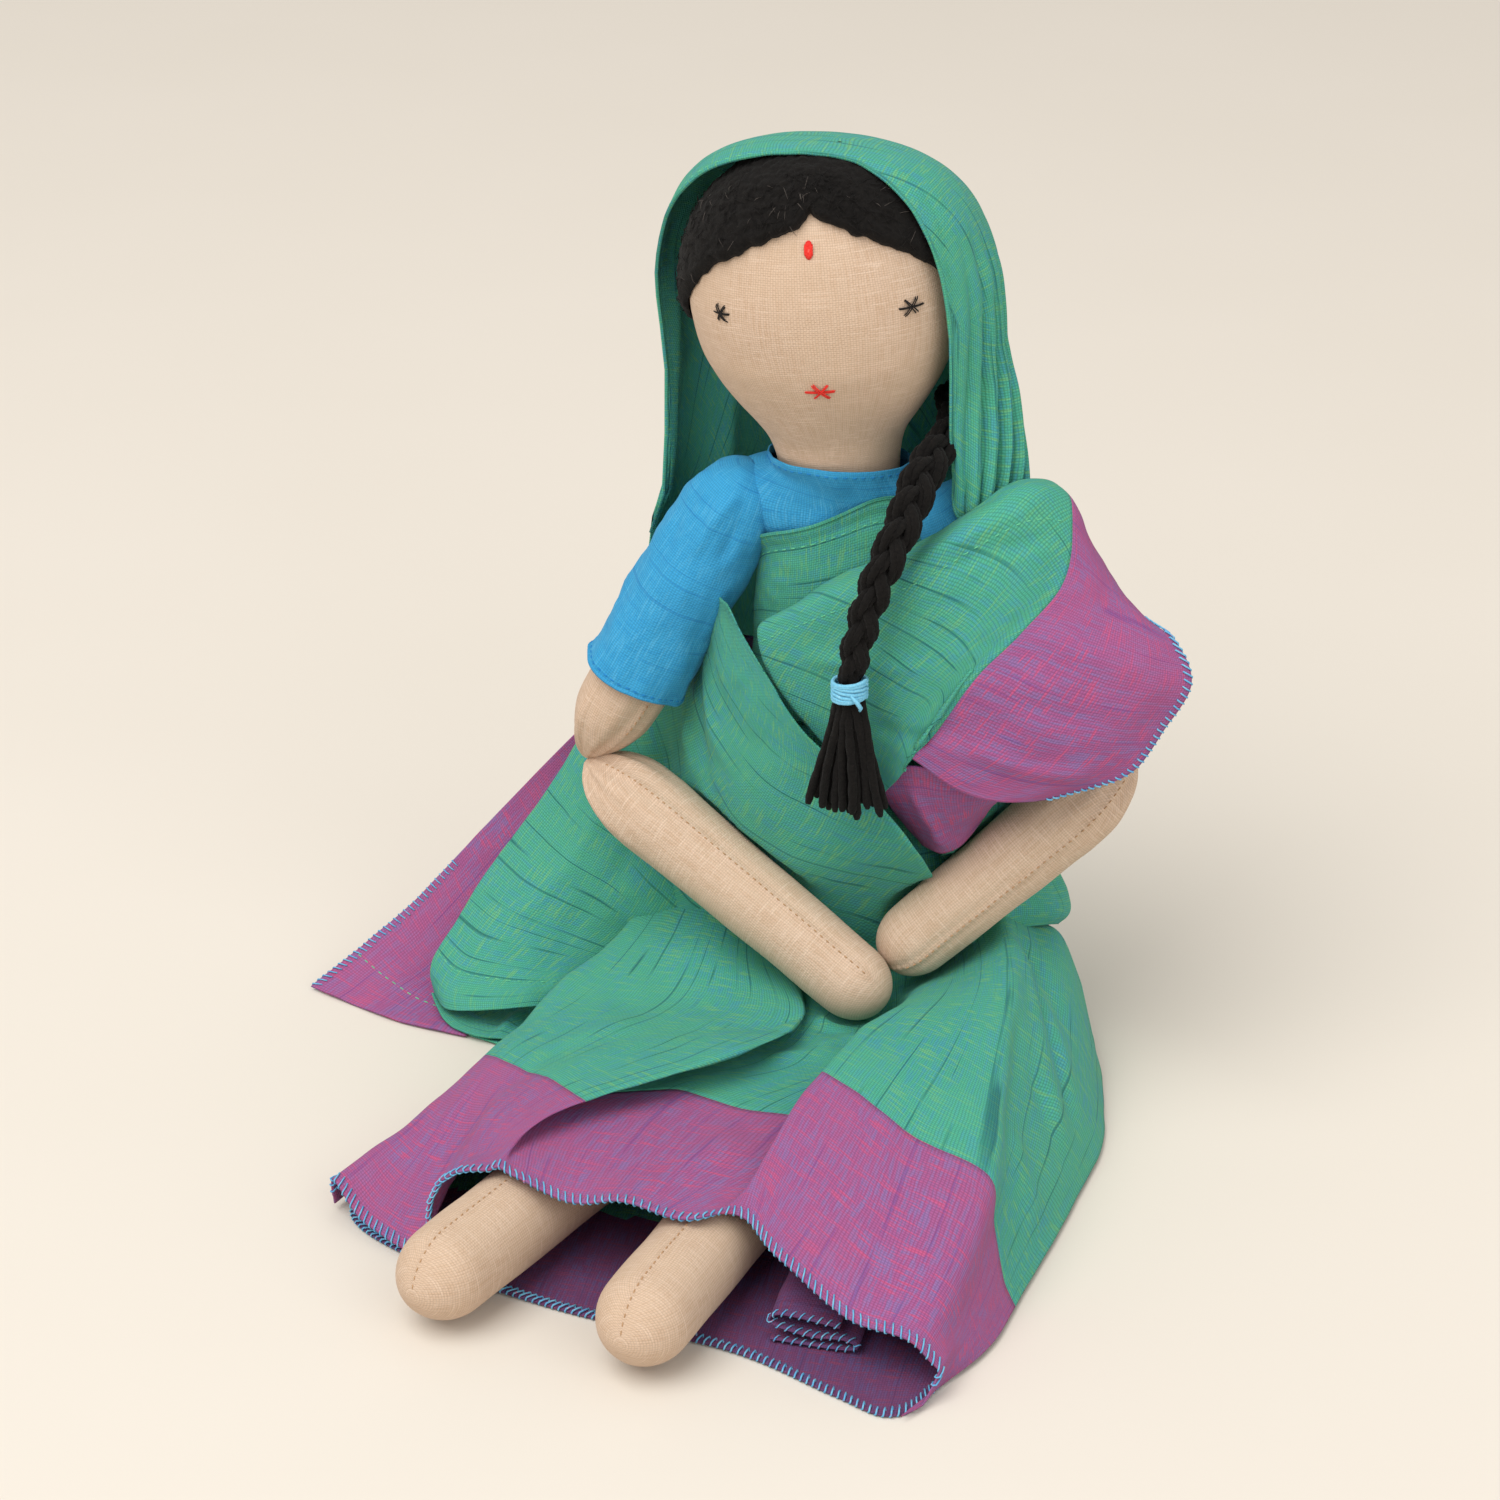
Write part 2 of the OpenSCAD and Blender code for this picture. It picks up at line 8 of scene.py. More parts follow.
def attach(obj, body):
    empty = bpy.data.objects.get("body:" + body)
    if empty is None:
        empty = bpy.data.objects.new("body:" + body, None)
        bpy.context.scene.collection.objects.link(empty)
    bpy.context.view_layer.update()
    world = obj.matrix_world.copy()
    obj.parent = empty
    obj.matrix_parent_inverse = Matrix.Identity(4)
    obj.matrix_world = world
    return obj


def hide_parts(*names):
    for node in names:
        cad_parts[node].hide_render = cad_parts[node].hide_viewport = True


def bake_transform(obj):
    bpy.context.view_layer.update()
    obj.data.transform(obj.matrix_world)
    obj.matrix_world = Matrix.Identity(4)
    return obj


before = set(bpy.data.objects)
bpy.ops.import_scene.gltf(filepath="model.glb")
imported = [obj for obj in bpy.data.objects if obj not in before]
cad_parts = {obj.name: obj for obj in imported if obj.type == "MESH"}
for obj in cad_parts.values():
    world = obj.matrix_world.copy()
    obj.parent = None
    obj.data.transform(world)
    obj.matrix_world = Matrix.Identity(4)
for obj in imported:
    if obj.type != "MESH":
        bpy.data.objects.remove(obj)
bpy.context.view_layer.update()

dice = random.Random(11)
deg = math.radians


# Camera: a little to the doll's left of straight ahead, looking down on it
cameraPlace = {"azimuth": 15, "elevation": 27, "distance": 1.0, "lens": 85, "target": (-0.018, -0.040, 0.115)}
around, up = deg(cameraPlace["azimuth"]), deg(cameraPlace["elevation"])
back = Vector((math.sin(around) * math.cos(up), -math.cos(around) * math.cos(up), math.sin(up)))
camera = bpy.data.objects.new("camera", bpy.data.cameras.new("camera"))
camera.data.lens = cameraPlace["lens"]
camera.location = Vector(cameraPlace["target"]) + back * cameraPlace["distance"]
camera.rotation_euler = back.to_track_quat("Z", "Y").to_euler()
bpy.context.collection.objects.link(camera)
bpy.context.scene.camera = camera


# Shapes are written in millimetres and made in metres
def curveThrough(points, steps, closed=False):
    p = np.asarray(points, float)
    q = np.concatenate([p[-1:], p, p[:2]] if closed else [p[:1], p, p[-1:]])
    t = (np.arange(steps) / steps).reshape((1, steps) + (1,) * (p.ndim - 1))
    a, b, c, d = (q[k:len(q) - 3 + k, None] for k in range(4))
    out = 0.5 * (2 * b + (c - a) * t + (2 * a - 5 * b + 4 * c - d) * t ** 2 + (3 * b - a - 3 * c + d) * t ** 3)
    out = out.reshape((-1,) + p.shape[1:])
    return out if closed else np.concatenate([out, p[-1:]])


def gridThrough(rows, down, across, closed=False):
    tall = curveThrough(rows, down)
    return curveThrough(tall.swapaxes(0, 1), across, closed).swapaxes(0, 1)


def unit(v):
    return v / np.maximum(np.linalg.norm(v, axis=-1, keepdims=True), 1e-9)


def gridNormals(g, ring=False):
    across = np.roll(g, -1, 1) - np.roll(g, 1, 1) if ring else np.gradient(g, axis=1)
    return unit(np.cross(np.gradient(g, axis=0), across))


def wrinkle(g, amount, size, seed, ring=False, keep=None):
    # soft uneven creases: noise pushed along the cloth's own normals; size may be one length or three
    n = gridNormals(g, ring)
    s = np.ones(3) * size
    flat = [noise.noise(Vector(p / s + seed * 7.3)) + 0.5 * noise.noise(Vector(p / s * 2.3 + seed * 3.1))
        for p in g.reshape(-1, 3)]
    lift = np.array(flat).reshape(g.shape[:2] + (1,)) * amount
    return g + n * (lift if keep is None else lift * keep[..., None])


def nearLine(p, line):
    # distance of each point to a polyline, and how far along it that is, from 0 to 1
    line = np.asarray(line, float)
    best = np.full(p.shape[:-1], 1e9)
    share = np.zeros(p.shape[:-1])
    for k in range(len(line) - 1):
        a, way = line[k], line[k + 1] - line[k]
        t = np.clip(((p - a) @ way) / (way @ way), 0, 1)
        d = np.linalg.norm(p - a - t[..., None] * way, axis=-1)
        share = np.where(d < best, (k + t) / (len(line) - 1), share)
        best = np.minimum(best, d)
    return best, share


def crease(g, line, width, height, ring=False, fade=0.25):
    # a fold raised or sunk along a line, dying away at both of its ends
    d, s = nearLine(g, line)
    ends = np.clip(np.minimum(s, 1 - s) / fade, 0, 1)
    lift = height * np.exp(-(d / width) ** 2) * (3 * ends ** 2 - 2 * ends ** 3)
    return g + gridNormals(g, ring) * lift[..., None]


def keepOff(g, a, b, radius):
    # moves cloth out of a limb that lies between a and b
    a, way = np.asarray(a, float), np.asarray(b, float) - np.asarray(a, float)
    t = np.clip(((g - a) @ way) / (way @ way), 0, 1)
    off = g - a - t[..., None] * way
    d = np.linalg.norm(off, axis=-1, keepdims=True)
    return g + unit(off) * np.maximum(radius - d, 0)


def newMesh(name, points, faces, uv=None):
    mesh = bpy.data.meshes.new(name)
    mesh.from_pydata([tuple(p) for p in np.asarray(points) * 0.001], [], faces)
    if uv is not None:
        layer = mesh.uv_layers.new(name="threads")
        loops = np.empty(len(mesh.loops), int)
        mesh.loops.foreach_get("vertex_index", loops)
        layer.data.foreach_set("uv", (np.asarray(uv)[loops] * 0.001).ravel())
    mesh.shade_smooth()
    piece = bpy.data.objects.new(name, mesh)
    bpy.context.collection.objects.link(piece)
    return piece


def applyModifier(piece, kind, **settings):
    bpy.ops.object.select_all(action="DESELECT")
    piece.select_set(True)
    bpy.context.view_layer.objects.active = piece
    modifier = piece.modifiers.new(kind.title(), kind)
    for key, value in settings.items():
        setattr(modifier, key, value)
    bpy.ops.object.modifier_apply(modifier=modifier.name)


def threadsOf(g, turned=False):
    # thread coordinates in mm, from the cloth's own average lengths
    across = np.linalg.norm(np.diff(g, axis=1), axis=-1).mean(0)
    down = np.linalg.norm(np.diff(g, axis=0), axis=-1).mean(1)
    u = np.concatenate([[0], np.cumsum(across)])
    v = np.concatenate([[0], np.cumsum(down)])
    uv = np.stack(np.broadcast_arrays(u[None, :], v[:, None]), -1)
    return uv[..., ::-1] if turned else uv


def leaning(uv, angle):
    # the same threads on the bias
    c, s = math.cos(deg(angle)), math.sin(deg(angle))
    return np.stack([uv[..., 0] * c - uv[..., 1] * s, uv[..., 0] * s + uv[..., 1] * c], -1)


clothThick = 0.5  # mm


def clothPiece(name, g, material, ring=False, turned=False, thick=clothThick, uv=None):
    if ring:
        g = np.concatenate([g, g[:, :1]], 1)
    n, m = g.shape[:2]
    uv = threadsOf(g, turned) if uv is None else uv
    faces = [(i * m + j, (i + 1) * m + j, (i + 1) * m + j + 1, i * m + j + 1) for i in range(n - 1)
        for j in range(m - 1)]
    piece = newMesh(name, g.reshape(-1, 3), faces, uv.reshape(-1, 2))
    piece.data.materials.append(material)
    if ring:
        applyModifier(piece, "WELD", merge_threshold=0.00001)
    applyModifier(piece, "SOLIDIFY", thickness=thick * 0.001, offset=-1)
    piece.data.shade_smooth()
    return piece


def tubes(name, paths, radius, sides=8, ply=0.0, twist=0.0, taper=0.6):
    # round threads and yarns along paths; ply gives each one a twisted two-strand look
    points, faces, uv = [], [], []
    angles = np.arange(sides) / sides * 2 * math.pi
    for path in paths:
        path = np.asarray(path, float)
        way = unit(np.gradient(path, axis=0))
        side = unit(np.cross(way[0], [0.3, 0.5, 0.81]))
        lengths = np.concatenate([[0], np.cumsum(np.linalg.norm(np.diff(path, axis=0), axis=1))])
        base = len(points)
        for i, p in enumerate(path):
            side = unit(side - way[i] * (side @ way[i]))
            over = np.cross(way[i], side)
            end = taper if i in (0, len(path) - 1) else 1
            phase = angles - (2 * math.pi * lengths[i] / twist if twist else 0)
            r = radius * end * (1 - ply + ply * np.abs(np.cos(phase)))
            points.extend(p + r[k] * (math.cos(a) * side + math.sin(a) * over) for k, a in enumerate(angles))
            uv.extend((a * radius, lengths[i]) for a in angles)
            if i:
                a0, b0 = base + (i - 1) * sides, base + i * sides
                faces.extend((a0 + k, a0 + (k + 1) % sides, b0 + (k + 1) % sides, b0 + k) for k in range(sides))
        faces.append(tuple(base + k for k in range(sides - 1, -1, -1)))
        faces.append(tuple(len(points) - sides + k for k in range(sides)))
    return newMesh(name, points, faces, uv)


def stitchPaths(line, normals, long, space, lift=0.15, dip=0.35):
    # short thread bars along a line on the cloth, each one diving in at both ends
    line, normals = np.asarray(line, float), np.asarray(normals, float)
    s = np.concatenate([[0], np.cumsum(np.linalg.norm(np.diff(line, axis=0), axis=1))])
    bars, start = [], space
    while start + long < s[-1]:
        at = np.linspace(start, start + long, 5)
        p = np.stack([np.interp(at, s, line[:, k]) for k in range(3)], 1)
        n = unit(np.stack([np.interp(at, s, normals[:, k]) for k in range(3)], 1))
        bars.append(p + n * np.array([-dip, lift * 0.8, lift, lift * 0.8, -dip])[:, None])
        start += long + space * (0.85 + 0.3 * dice.random())
    return bars


def overlockPath(edge, inward, normals, wide=3.2, pitch=2.0):
    # looped thread that wraps a raw edge: over the face, round the edge and back underneath
    s = np.concatenate([[0], np.cumsum(np.linalg.norm(np.diff(edge, axis=0), axis=1))])
    count = max(int(s[-1] / pitch), 2)
    path = []
    for k in range(count):
        for f, across, rise in ((0, 1, 0.35), (0.25, 0.5, 0.45), (0.45, 0.0, 0.4), (0.55, -0.12, -0.25),
                (0.65, 0.0, -0.8), (0.85, 0.6, -0.85), (0.95, 1, -0.3)):
            at = (k + f) * s[-1] / count
            p, w, n = (np.array([np.interp(at, s, q[:, c]) for c in range(3)]) for q in (edge, inward, normals))
            path.append(p + unit(w) * across * wide * (0.9 + 0.2 * dice.random()) + unit(n) * rise)
    return np.array(path)


print("helpers ready")


# Materials
def toLinear(code):
    parts = [int(code[k:k + 2], 16) / 255 for k in (1, 3, 5)]
    return tuple(c / 12.92 if c <= 0.04045 else ((c + 0.055) / 1.055) ** 2.4 for c in parts) + (1,)


def addNode(tree, kind, settings, sockets):
    node = tree.nodes.new(kind)
    for key, value in settings.items():
        setattr(node, key, value)
    for key, value in sockets.items():
        if isinstance(value, bpy.types.NodeSocket):
            tree.links.new(value, node.inputs[key])
        else:
            node.inputs[key].default_value = value
    return node


def maths(tree, operation, a, b=0.5):
    return addNode(tree, "ShaderNodeMath", {"operation": operation}, {0: a, 1: b}).outputs[0]


def blendColour(tree, share, a, b, how="MIX"):
    node = addNode(tree, "ShaderNodeMix", {"data_type": "RGBA", "blend_type": how}, {0: share, 6: a, 7: b})
    return node.outputs[2]


def wovenCloth(name, look):
    # plain-weave cloth: threads of two shades over and under, slubs that run one way, and a soft matt nap
    material = bpy.data.materials.new(name)
    material.use_nodes = True
    tree = material.node_tree
    shader = tree.nodes["Principled BSDF"]
    place = addNode(tree, "ShaderNodeUVMap", {"uv_map": "threads"}, {}).outputs[0]
    drift = addNode(tree, "ShaderNodeTexNoise", {"noise_dimensions": "2D"},
        {"Vector": place, "Scale": 140, "Detail": 2.0})
    drift = addNode(tree, "ShaderNodeVectorMath", {"operation": "MULTIPLY_ADD"},
        {0: drift.outputs["Color"], 1: (0.0007, 0.0007, 0), 2: place})
    split = addNode(tree, "ShaderNodeSeparateXYZ", {}, {0: drift.outputs[0]})
    turn = math.pi / (look["thread"] * 0.001)
    warp = maths(tree, "SINE", maths(tree, "MULTIPLY", split.outputs[0], turn))
    weft = maths(tree, "SINE", maths(tree, "MULTIPLY", split.outputs[1], turn))
    check = maths(tree, "MULTIPLY", warp, weft)  # over and under
    gaps = maths(tree, "MULTIPLY", maths(tree, "ABSOLUTE", warp), maths(tree, "ABSOLUTE", weft))

    def cloud(acrossScale, alongScale, detail):
        moved = addNode(tree, "ShaderNodeMapping", {}, {"Vector": place, "Scale": (acrossScale, alongScale, 1),
            "Location": (look["seed"], look["seed"] * 2, 0)})
        return addNode(tree, "ShaderNodeTexNoise", {"noise_dimensions": "2D"},
            {"Vector": moved.outputs[0], "Scale": 1.0, "Detail": detail, "Roughness": 0.6}).outputs[0]

    def between(value, low, high, first=0.0, last=1.0):
        return addNode(tree, "ShaderNodeMapRange", {"interpolation_type": "SMOOTHSTEP"},
            {0: value, 1: low, 2: high, 3: first, 4: last}).outputs[0]

    colour = blendColour(tree, between(cloud(1150, 110, 2.0), 0.42, 0.64), toLinear(look["base"]),
        toLinear(look["warp"]))
    colour = blendColour(tree, between(cloud(120, 1150, 2.0), 0.52, 0.70), colour, toLinear(look["weft"]))
    colour = blendColour(tree, between(cloud(38, 30, 3.0), 0.38, 0.68, 0.0, look["cloudy"]), colour,
        toLinear(look["cloud"]))
    # slubs: thin uneven lines a few millimetres apart that fade in and out along their length
    straight = addNode(tree, "ShaderNodeSeparateXYZ", {}, {0: place})
    apart = maths(tree, "ADD", maths(tree, "MULTIPLY", straight.outputs[0], 1000 / look["lines"]),
        maths(tree, "MULTIPLY", cloud(60, 1.5, 1.0), 3.0))
    near = maths(tree, "ABSOLUTE", maths(tree, "SUBTRACT", maths(tree, "FRACT", apart, 0.0), 0.5))
    slub = maths(tree, "MULTIPLY", between(near, 0.02, 0.065, 1.0, 0.0), between(cloud(200, 26, 2.0), 0.42, 0.60))
    slub = maths(tree, "MULTIPLY", slub, maths(tree, "ADD", maths(tree, "MULTIPLY",
        maths(tree, "ABSOLUTE", weft), 0.6), 0.4))
    slub = maths(tree, "MULTIPLY", slub, look["slubs"])
    colour = blendColour(tree, slub, colour, toLinear(look["slub"]))
    shade = between(gaps, 0.0, 0.7, look["gap"], 1.05)
    grey = addNode(tree, "ShaderNodeCombineColor", {}, {0: shade, 1: shade, 2: shade}).outputs[0]
    colour = blendColour(tree, 1.0, colour, grey, "MULTIPLY")
    tree.links.new(colour, shader.inputs["Base Color"])
    height = maths(tree, "ADD", maths(tree, "MULTIPLY", check, 0.35), maths(tree, "MULTIPLY", gaps, 0.65))
    height = maths(tree, "ADD", height, maths(tree, "MULTIPLY", slub, 0.5))
    bump = addNode(tree, "ShaderNodeBump", {}, {"Height": height, "Strength": look["relief"], "Distance": 0.0002})
    tree.links.new(bump.outputs[0], shader.inputs["Normal"])
    shader.inputs["Roughness"].default_value = 0.88
    shader.inputs["Specular IOR Level"].default_value = 0.25
    shader.inputs["Sheen Weight"].default_value = look["sheen"]
    shader.inputs["Sheen Roughness"].default_value = 0.5
    return material


def woolYarn(name, look):
    # spun yarn: soft fibres lying along a twist, darker between the plies
    material = bpy.data.materials.new(name)
    material.use_nodes = True
    tree = material.node_tree
    shader = tree.nodes["Principled BSDF"]
    place = addNode(tree, "ShaderNodeTexCoord", {}, {}).outputs["Object"]
    fibres = addNode(tree, "ShaderNodeTexNoise", {}, {"Vector": place, "Scale": look["fibre"], "Detail": 6.0,
        "Roughness": 0.7})
    lint = addNode(tree, "ShaderNodeTexNoise", {}, {"Vector": place, "Scale": 900, "Detail": 3.0})
    share = addNode(tree, "ShaderNodeMapRange", {}, {0: fibres.outputs[0], 1: 0.3, 2: 0.7}).outputs[0]
    colour = blendColour(tree, share, toLinear(look["dark"]), toLinear(look["light"]))
    speck = addNode(tree, "ShaderNodeMapRange", {}, {0: lint.outputs[0], 1: look["lint"],
        2: look["lint"] + 0.08}).outputs[0]
    colour = blendColour(tree, speck, colour, toLinear(look["fleck"]))
    tree.links.new(colour, shader.inputs["Base Color"])
    bump = addNode(tree, "ShaderNodeBump", {}, {"Height": fibres.outputs[0], "Strength": look["relief"],
        "Distance": 0.0005})
    tree.links.new(bump.outputs[0], shader.inputs["Normal"])
    shader.inputs["Roughness"].default_value = 0.92
    shader.inputs["Specular IOR Level"].default_value = 0.2
    shader.inputs["Sheen Weight"].default_value = 0.03
    return material


# Handloom cotton, threads about 0.55 mm apart in the real cloth drawn a third wider so that they show
skinCotton = wovenCloth("beige plain-weave cotton", {"thread": 0.75, "base": "#cdb39c", "warp": "#c6aa91",
    "weft": "#d5bca6", "cloud": "#cab097", "cloudy": 0.5, "slub": "#b3967a", "slubs": 0.10, "lines": 6, "gap": 0.86,
    "relief": 0.5, "sheen": 0.04, "seed": 1})
blouseCotton = wovenCloth("blue slub cotton", {"thread": 0.72, "base": "#3a9ccc", "warp": "#3294c8",
    "weft": "#4aa6d3", "cloud": "#3698ca", "cloudy": 0.5, "slub": "#2178b4", "slubs": 0.6, "lines": 6.5, "gap": 0.80,
    "relief": 0.5, "sheen": 0.04, "seed": 2})
sariGreen = wovenCloth("green and blue shot handloom cotton",
    {"thread": 0.72, "base": "#48a38a", "warp": "#469ba0", "weft": "#64ad7e", "cloud": "#50a986", "cloudy": 0.5,
    "slub": "#176063", "slubs": 0.85, "lines": 6.2, "gap": 0.70, "relief": 0.6, "sheen": 0.03, "seed": 3})
sariPurple = wovenCloth("purple and red shot handloom cotton",
    {"thread": 0.72, "base": "#9b5588", "warp": "#89679c", "weft": "#b9547f", "cloud": "#a45785", "cloudy": 0.5,
    "slub": "#70478a", "slubs": 0.6, "lines": 6.6, "gap": 0.76, "relief": 0.6, "sheen": 0.03, "seed": 4})
# Painted shade: a darker copy of the purple cotton, for cloth that lies in the shade of the skirt's hem opening
paintedShadePurple = wovenCloth("purple cotton darkened as painted shade", {"thread": 0.72, "base": "#6a3d66", "warp": "#5f4c7a",
    "weft": "#7f3f60", "cloud": "#6f3f66", "cloudy": 0.5, "slub": "#4a325e", "slubs": 0.5, "lines": 6.6, "gap": 0.76,
    "relief": 0.6, "sheen": 0.02, "seed": 5})
blackWool = woolYarn("black wool yarn", {"fibre": 1100, "dark": "#060505", "light": "#171412", "fleck": "#24201e",
    "lint": 0.68, "relief": 0.9})
paleLint = woolYarn("grey wool fibre", {"fibre": 900, "dark": "#3b3633", "light": "#6d6661", "fleck": "#8b847e",
    "lint": 0.7, "relief": 0.2})
blackThread = woolYarn("black embroidery cotton", {"fibre": 2600, "dark": "#151312", "light": "#2e2a28",
    "fleck": "#3a3533", "lint": 0.75, "relief": 0.4})
redThread = woolYarn("red embroidery cotton", {"fibre": 2600, "dark": "#cf2b26", "light": "#ea4238",
    "fleck": "#f1675a", "lint": 0.7, "relief": 0.4})
blueThread = woolYarn("pale blue cotton thread", {"fibre": 2000, "dark": "#62b4d8", "light": "#93d3ec",
    "fleck": "#b5e3f3", "lint": 0.68, "relief": 0.5})
hemThread = woolYarn("blue and pink overlock thread", {"fibre": 420, "dark": "#4d9ad2", "light": "#83c6de",
    "fleck": "#cf6a94", "lint": 0.64, "relief": 0.3})
seamThread = woolYarn("beige sewing thread", {"fibre": 1800, "dark": "#a9835f", "light": "#c29d79",
    "fleck": "#d2b08d", "lint": 0.7, "relief": 0.3})
greenThread = woolYarn("pale green sewing thread", {"fibre": 1800, "dark": "#4fb184", "light": "#7fd0a4",
    "fleck": "#a4dfbc", "lint": 0.7, "relief": 0.3})
blueSewing = woolYarn("blue sewing thread", {"fibre": 1800, "dark": "#1a70ad", "light": "#2c8ccc", "fleck": "#4aa3dc",
    "lint": 0.7, "relief": 0.3})
print("materials ready")


def finishPiece(piece, body, slotName, *nodes, material=None):
    if material:
        piece.data.materials.append(material)
    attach(piece, body)
    if nodes:
        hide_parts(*nodes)
    return piece


def seamPiece(name, body, slotName, paths, radius, material, sides=6):
    piece = tubes(name, paths, radius, sides)
    return finishPiece(piece, body, slotName, material=material)


def sheetPiece(piece, g, body, slotName, held, rests, *nodes, along=()):
    finishPiece(piece, body, slotName, *nodes)
    return piece


# The doll's own measures
doll = {"torsoWidth": 74, "torsoDepth": 38, "torsoHeight": 182, "torsoBack": 6, "headWidth": 76, "headDepth": 58,
    "headHeight": 92, "headAt": (-3, 3, 185), "headTurn": 7, "headLean": 5,
    "rightShoulder": (-33, 0, 174), "leftShoulder": (33, 0, 174), "rightElbow": (-76, -10, 90),
    "leftElbow": (85, 3, 105),
    "rightHand": (12, -39, 43.95), "leftHand": (28, -23, 51.95), "rightHip": (-18, -21.76, 15.8),
    "leftHip": (18, -21.76, 15.8)}
torsoRows = [(0.012, 0.92, 0.9), (0.06, 1.0, 1.03), (0.2, 1.02, 1.04), (0.4, 0.9, 1.0), (0.55, 0.8, 0.96),
    (0.7, 0.72, 0.93), (0.85, 0.68, 0.86), (0.92, 0.62, 0.76), (0.965, 0.52, 0.66), (1.0, 0.48, 0.62)]
headRows = [(0, 0.44, 0.46), (0.06, 0.46, 0.48), (0.13, 0.51, 0.53), (0.19, 0.61, 0.62), (0.25, 0.72, 0.72),
    (0.33, 0.84, 0.84),
    (0.42, 0.94, 0.94), (0.55, 1, 1), (0.66, 0.985, 0.99), (0.77, 0.91, 0.93), (0.86, 0.77, 0.8), (0.93, 0.58, 0.6),
    (0.975, 0.35, 0.37), (1, 0.06, 0.06)]


def smoothTable(rows, x, column):
    # the table read along a smooth curve, so that no ring shows
    fine = curveThrough(rows, 12)
    return np.interp(x, fine[:, 0], fine[:, column])


def torsoPoint(z, out, a):
    h = z / doll["torsoHeight"]
    x = (doll["torsoWidth"] / 2 * smoothTable(torsoRows, h, 1) + out) * np.cos(a)
    y = doll["torsoBack"] + (doll["torsoDepth"] / 2 * smoothTable(torsoRows, h, 2) + out) * np.sin(a)
    return np.stack(np.broadcast_arrays(x, y, z), -1)


def onHead(p):
    lean, turn = deg(-doll["headLean"]), deg(doll["headTurn"])
    x, y, z = p[..., 0], p[..., 1], p[..., 2]
    x, z = x * math.cos(lean) + z * math.sin(lean), -x * math.sin(lean) + z * math.cos(lean)
    x, y = x * math.cos(turn) - y * math.sin(turn), x * math.sin(turn) + y * math.cos(turn)
    return np.stack([x, y, z], -1) + np.array(doll["headAt"])


def headPoint(h, out, a):
    x = (doll["headWidth"] / 2 * smoothTable(headRows, h, 1) + out) * np.cos(a)
    y = (doll["headDepth"] / 2 * smoothTable(headRows, h, 2) + out) * np.sin(a)
    return np.stack(np.broadcast_arrays(x, y, h * doll["headHeight"]), -1)


def closedLoft(name, rings, material, uv):
    # a stuffed skin through closed rings, with both poles shut
    n, m = rings.shape[:2]
    g = np.concatenate([rings, rings[:, :1]], 1)
    faces = [(i * (m + 1) + j, (i + 1) * (m + 1) + j, (i + 1) * (m + 1) + j + 1, i * (m + 1) + j + 1)
        for i in range(n - 1) for j in range(m)]
    points = np.concatenate([g.reshape(-1, 3), rings[0].mean(0)[None], rings[-1].mean(0)[None]])
    uv = np.concatenate([uv.reshape(-1, 2), uv[0].mean(0)[None], uv[-1].mean(0)[None]])
    top, low, last = n * (m + 1), n * (m + 1) + 1, (n - 1) * (m + 1)
    faces += [(top, j, j + 1) for j in range(m)] + [(low, last + j + 1, last + j) for j in range(m)]
    piece = newMesh(name, points, faces, uv)
    piece.data.materials.append(material)
    applyModifier(piece, "WELD", merge_threshold=0.00001)
    piece.data.shade_smooth()
    return piece


# Braid: three strands of wool yarn plaited along one route, from behind the neck over the shoulder
braid = {"route": [(23, 20, 205), (27, 11, 204), (29, 1, 202), (28.5, -9, 200.5), (26.5, -19, 197.5),
    (25, -27, 192.5),
    (23.5, -34, 186.5), (20.5, -40, 178), (17.5, -43, 169), (15, -45, 159), (13, -46, 149), (12, -46, 143)],
    "diameter": 13.5, "plait": 30, "yarns": 5, "yarnRadius": 1.3}
braidLine = curveThrough(braid["route"], 14)
braidRun = np.concatenate([[0], np.cumsum(np.linalg.norm(np.diff(braidLine, axis=0), axis=1))])
braidWay = unit(np.gradient(braidLine, axis=0))
braidFace = unit(np.array([0.25, -0.9, 0.35]) - braidWay * (braidWay @ np.array([0.25, -0.9, 0.35]))[:, None])
braidSide = np.cross(braidWay, braidFace)
strands = []
full = np.interp(braidRun / braidRun[-1], [0, 0.2, 0.42, 0.7, 0.93, 1],
    [0.66, 0.8, 1.06, 0.92, 0.78, 0.5])[:, None]  # how full the plait is along its length
for k in range(3):
    turn = 2 * math.pi * (braidRun / braid["plait"] + k / 3)
    centre = braidLine + (braidSide * (3.1 * np.sin(turn))[:, None] + braidFace
        * (1.75 * np.sin(2 * turn))[:, None]) * full
    for y in range(braid["yarns"]):
        spin = 2 * math.pi * (y / braid["yarns"] + braidRun / 40)
        strands.append(centre + (braidSide * (1.45 * np.cos(spin))[:, None] + braidFace
            * (1.75 * np.sin(spin))[:, None]) * full)
    strands.append(centre)
hairBraid = tubes("hairBraid", strands, braid["yarnRadius"], 8, 0.22, 5.0)
hairBraid.data.materials.append(blackWool)
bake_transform(hairBraid)
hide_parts("braid_root", "hair_braid")

wraps = []
for turn in range(7):  # thread wound round the plait's end
    angle = np.linspace(0, 2 * math.pi, 40)
    wraps.append(np.stack([12 + 4.6 * np.cos(angle) * (1 + 0.03 * dice.random()), -46 + 4.6 * np.sin(angle),
        143.0 - 0.82 * turn + 0.5 * np.cos(angle + turn) + 0.8 * angle / 6.3], -1))
wraps.append(np.array([(13.6, -50.8, 141), (15.4, -51.2, 139.4), (16.4, -50.8, 137.6), (16.0, -50.4, 136.6)], float))
braidTie = finishPiece(tubes("braidTie", wraps, 0.62, 8, 0.15, 2.0), "braid", "blue_thread", "braid_tie",
    material=blueThread)

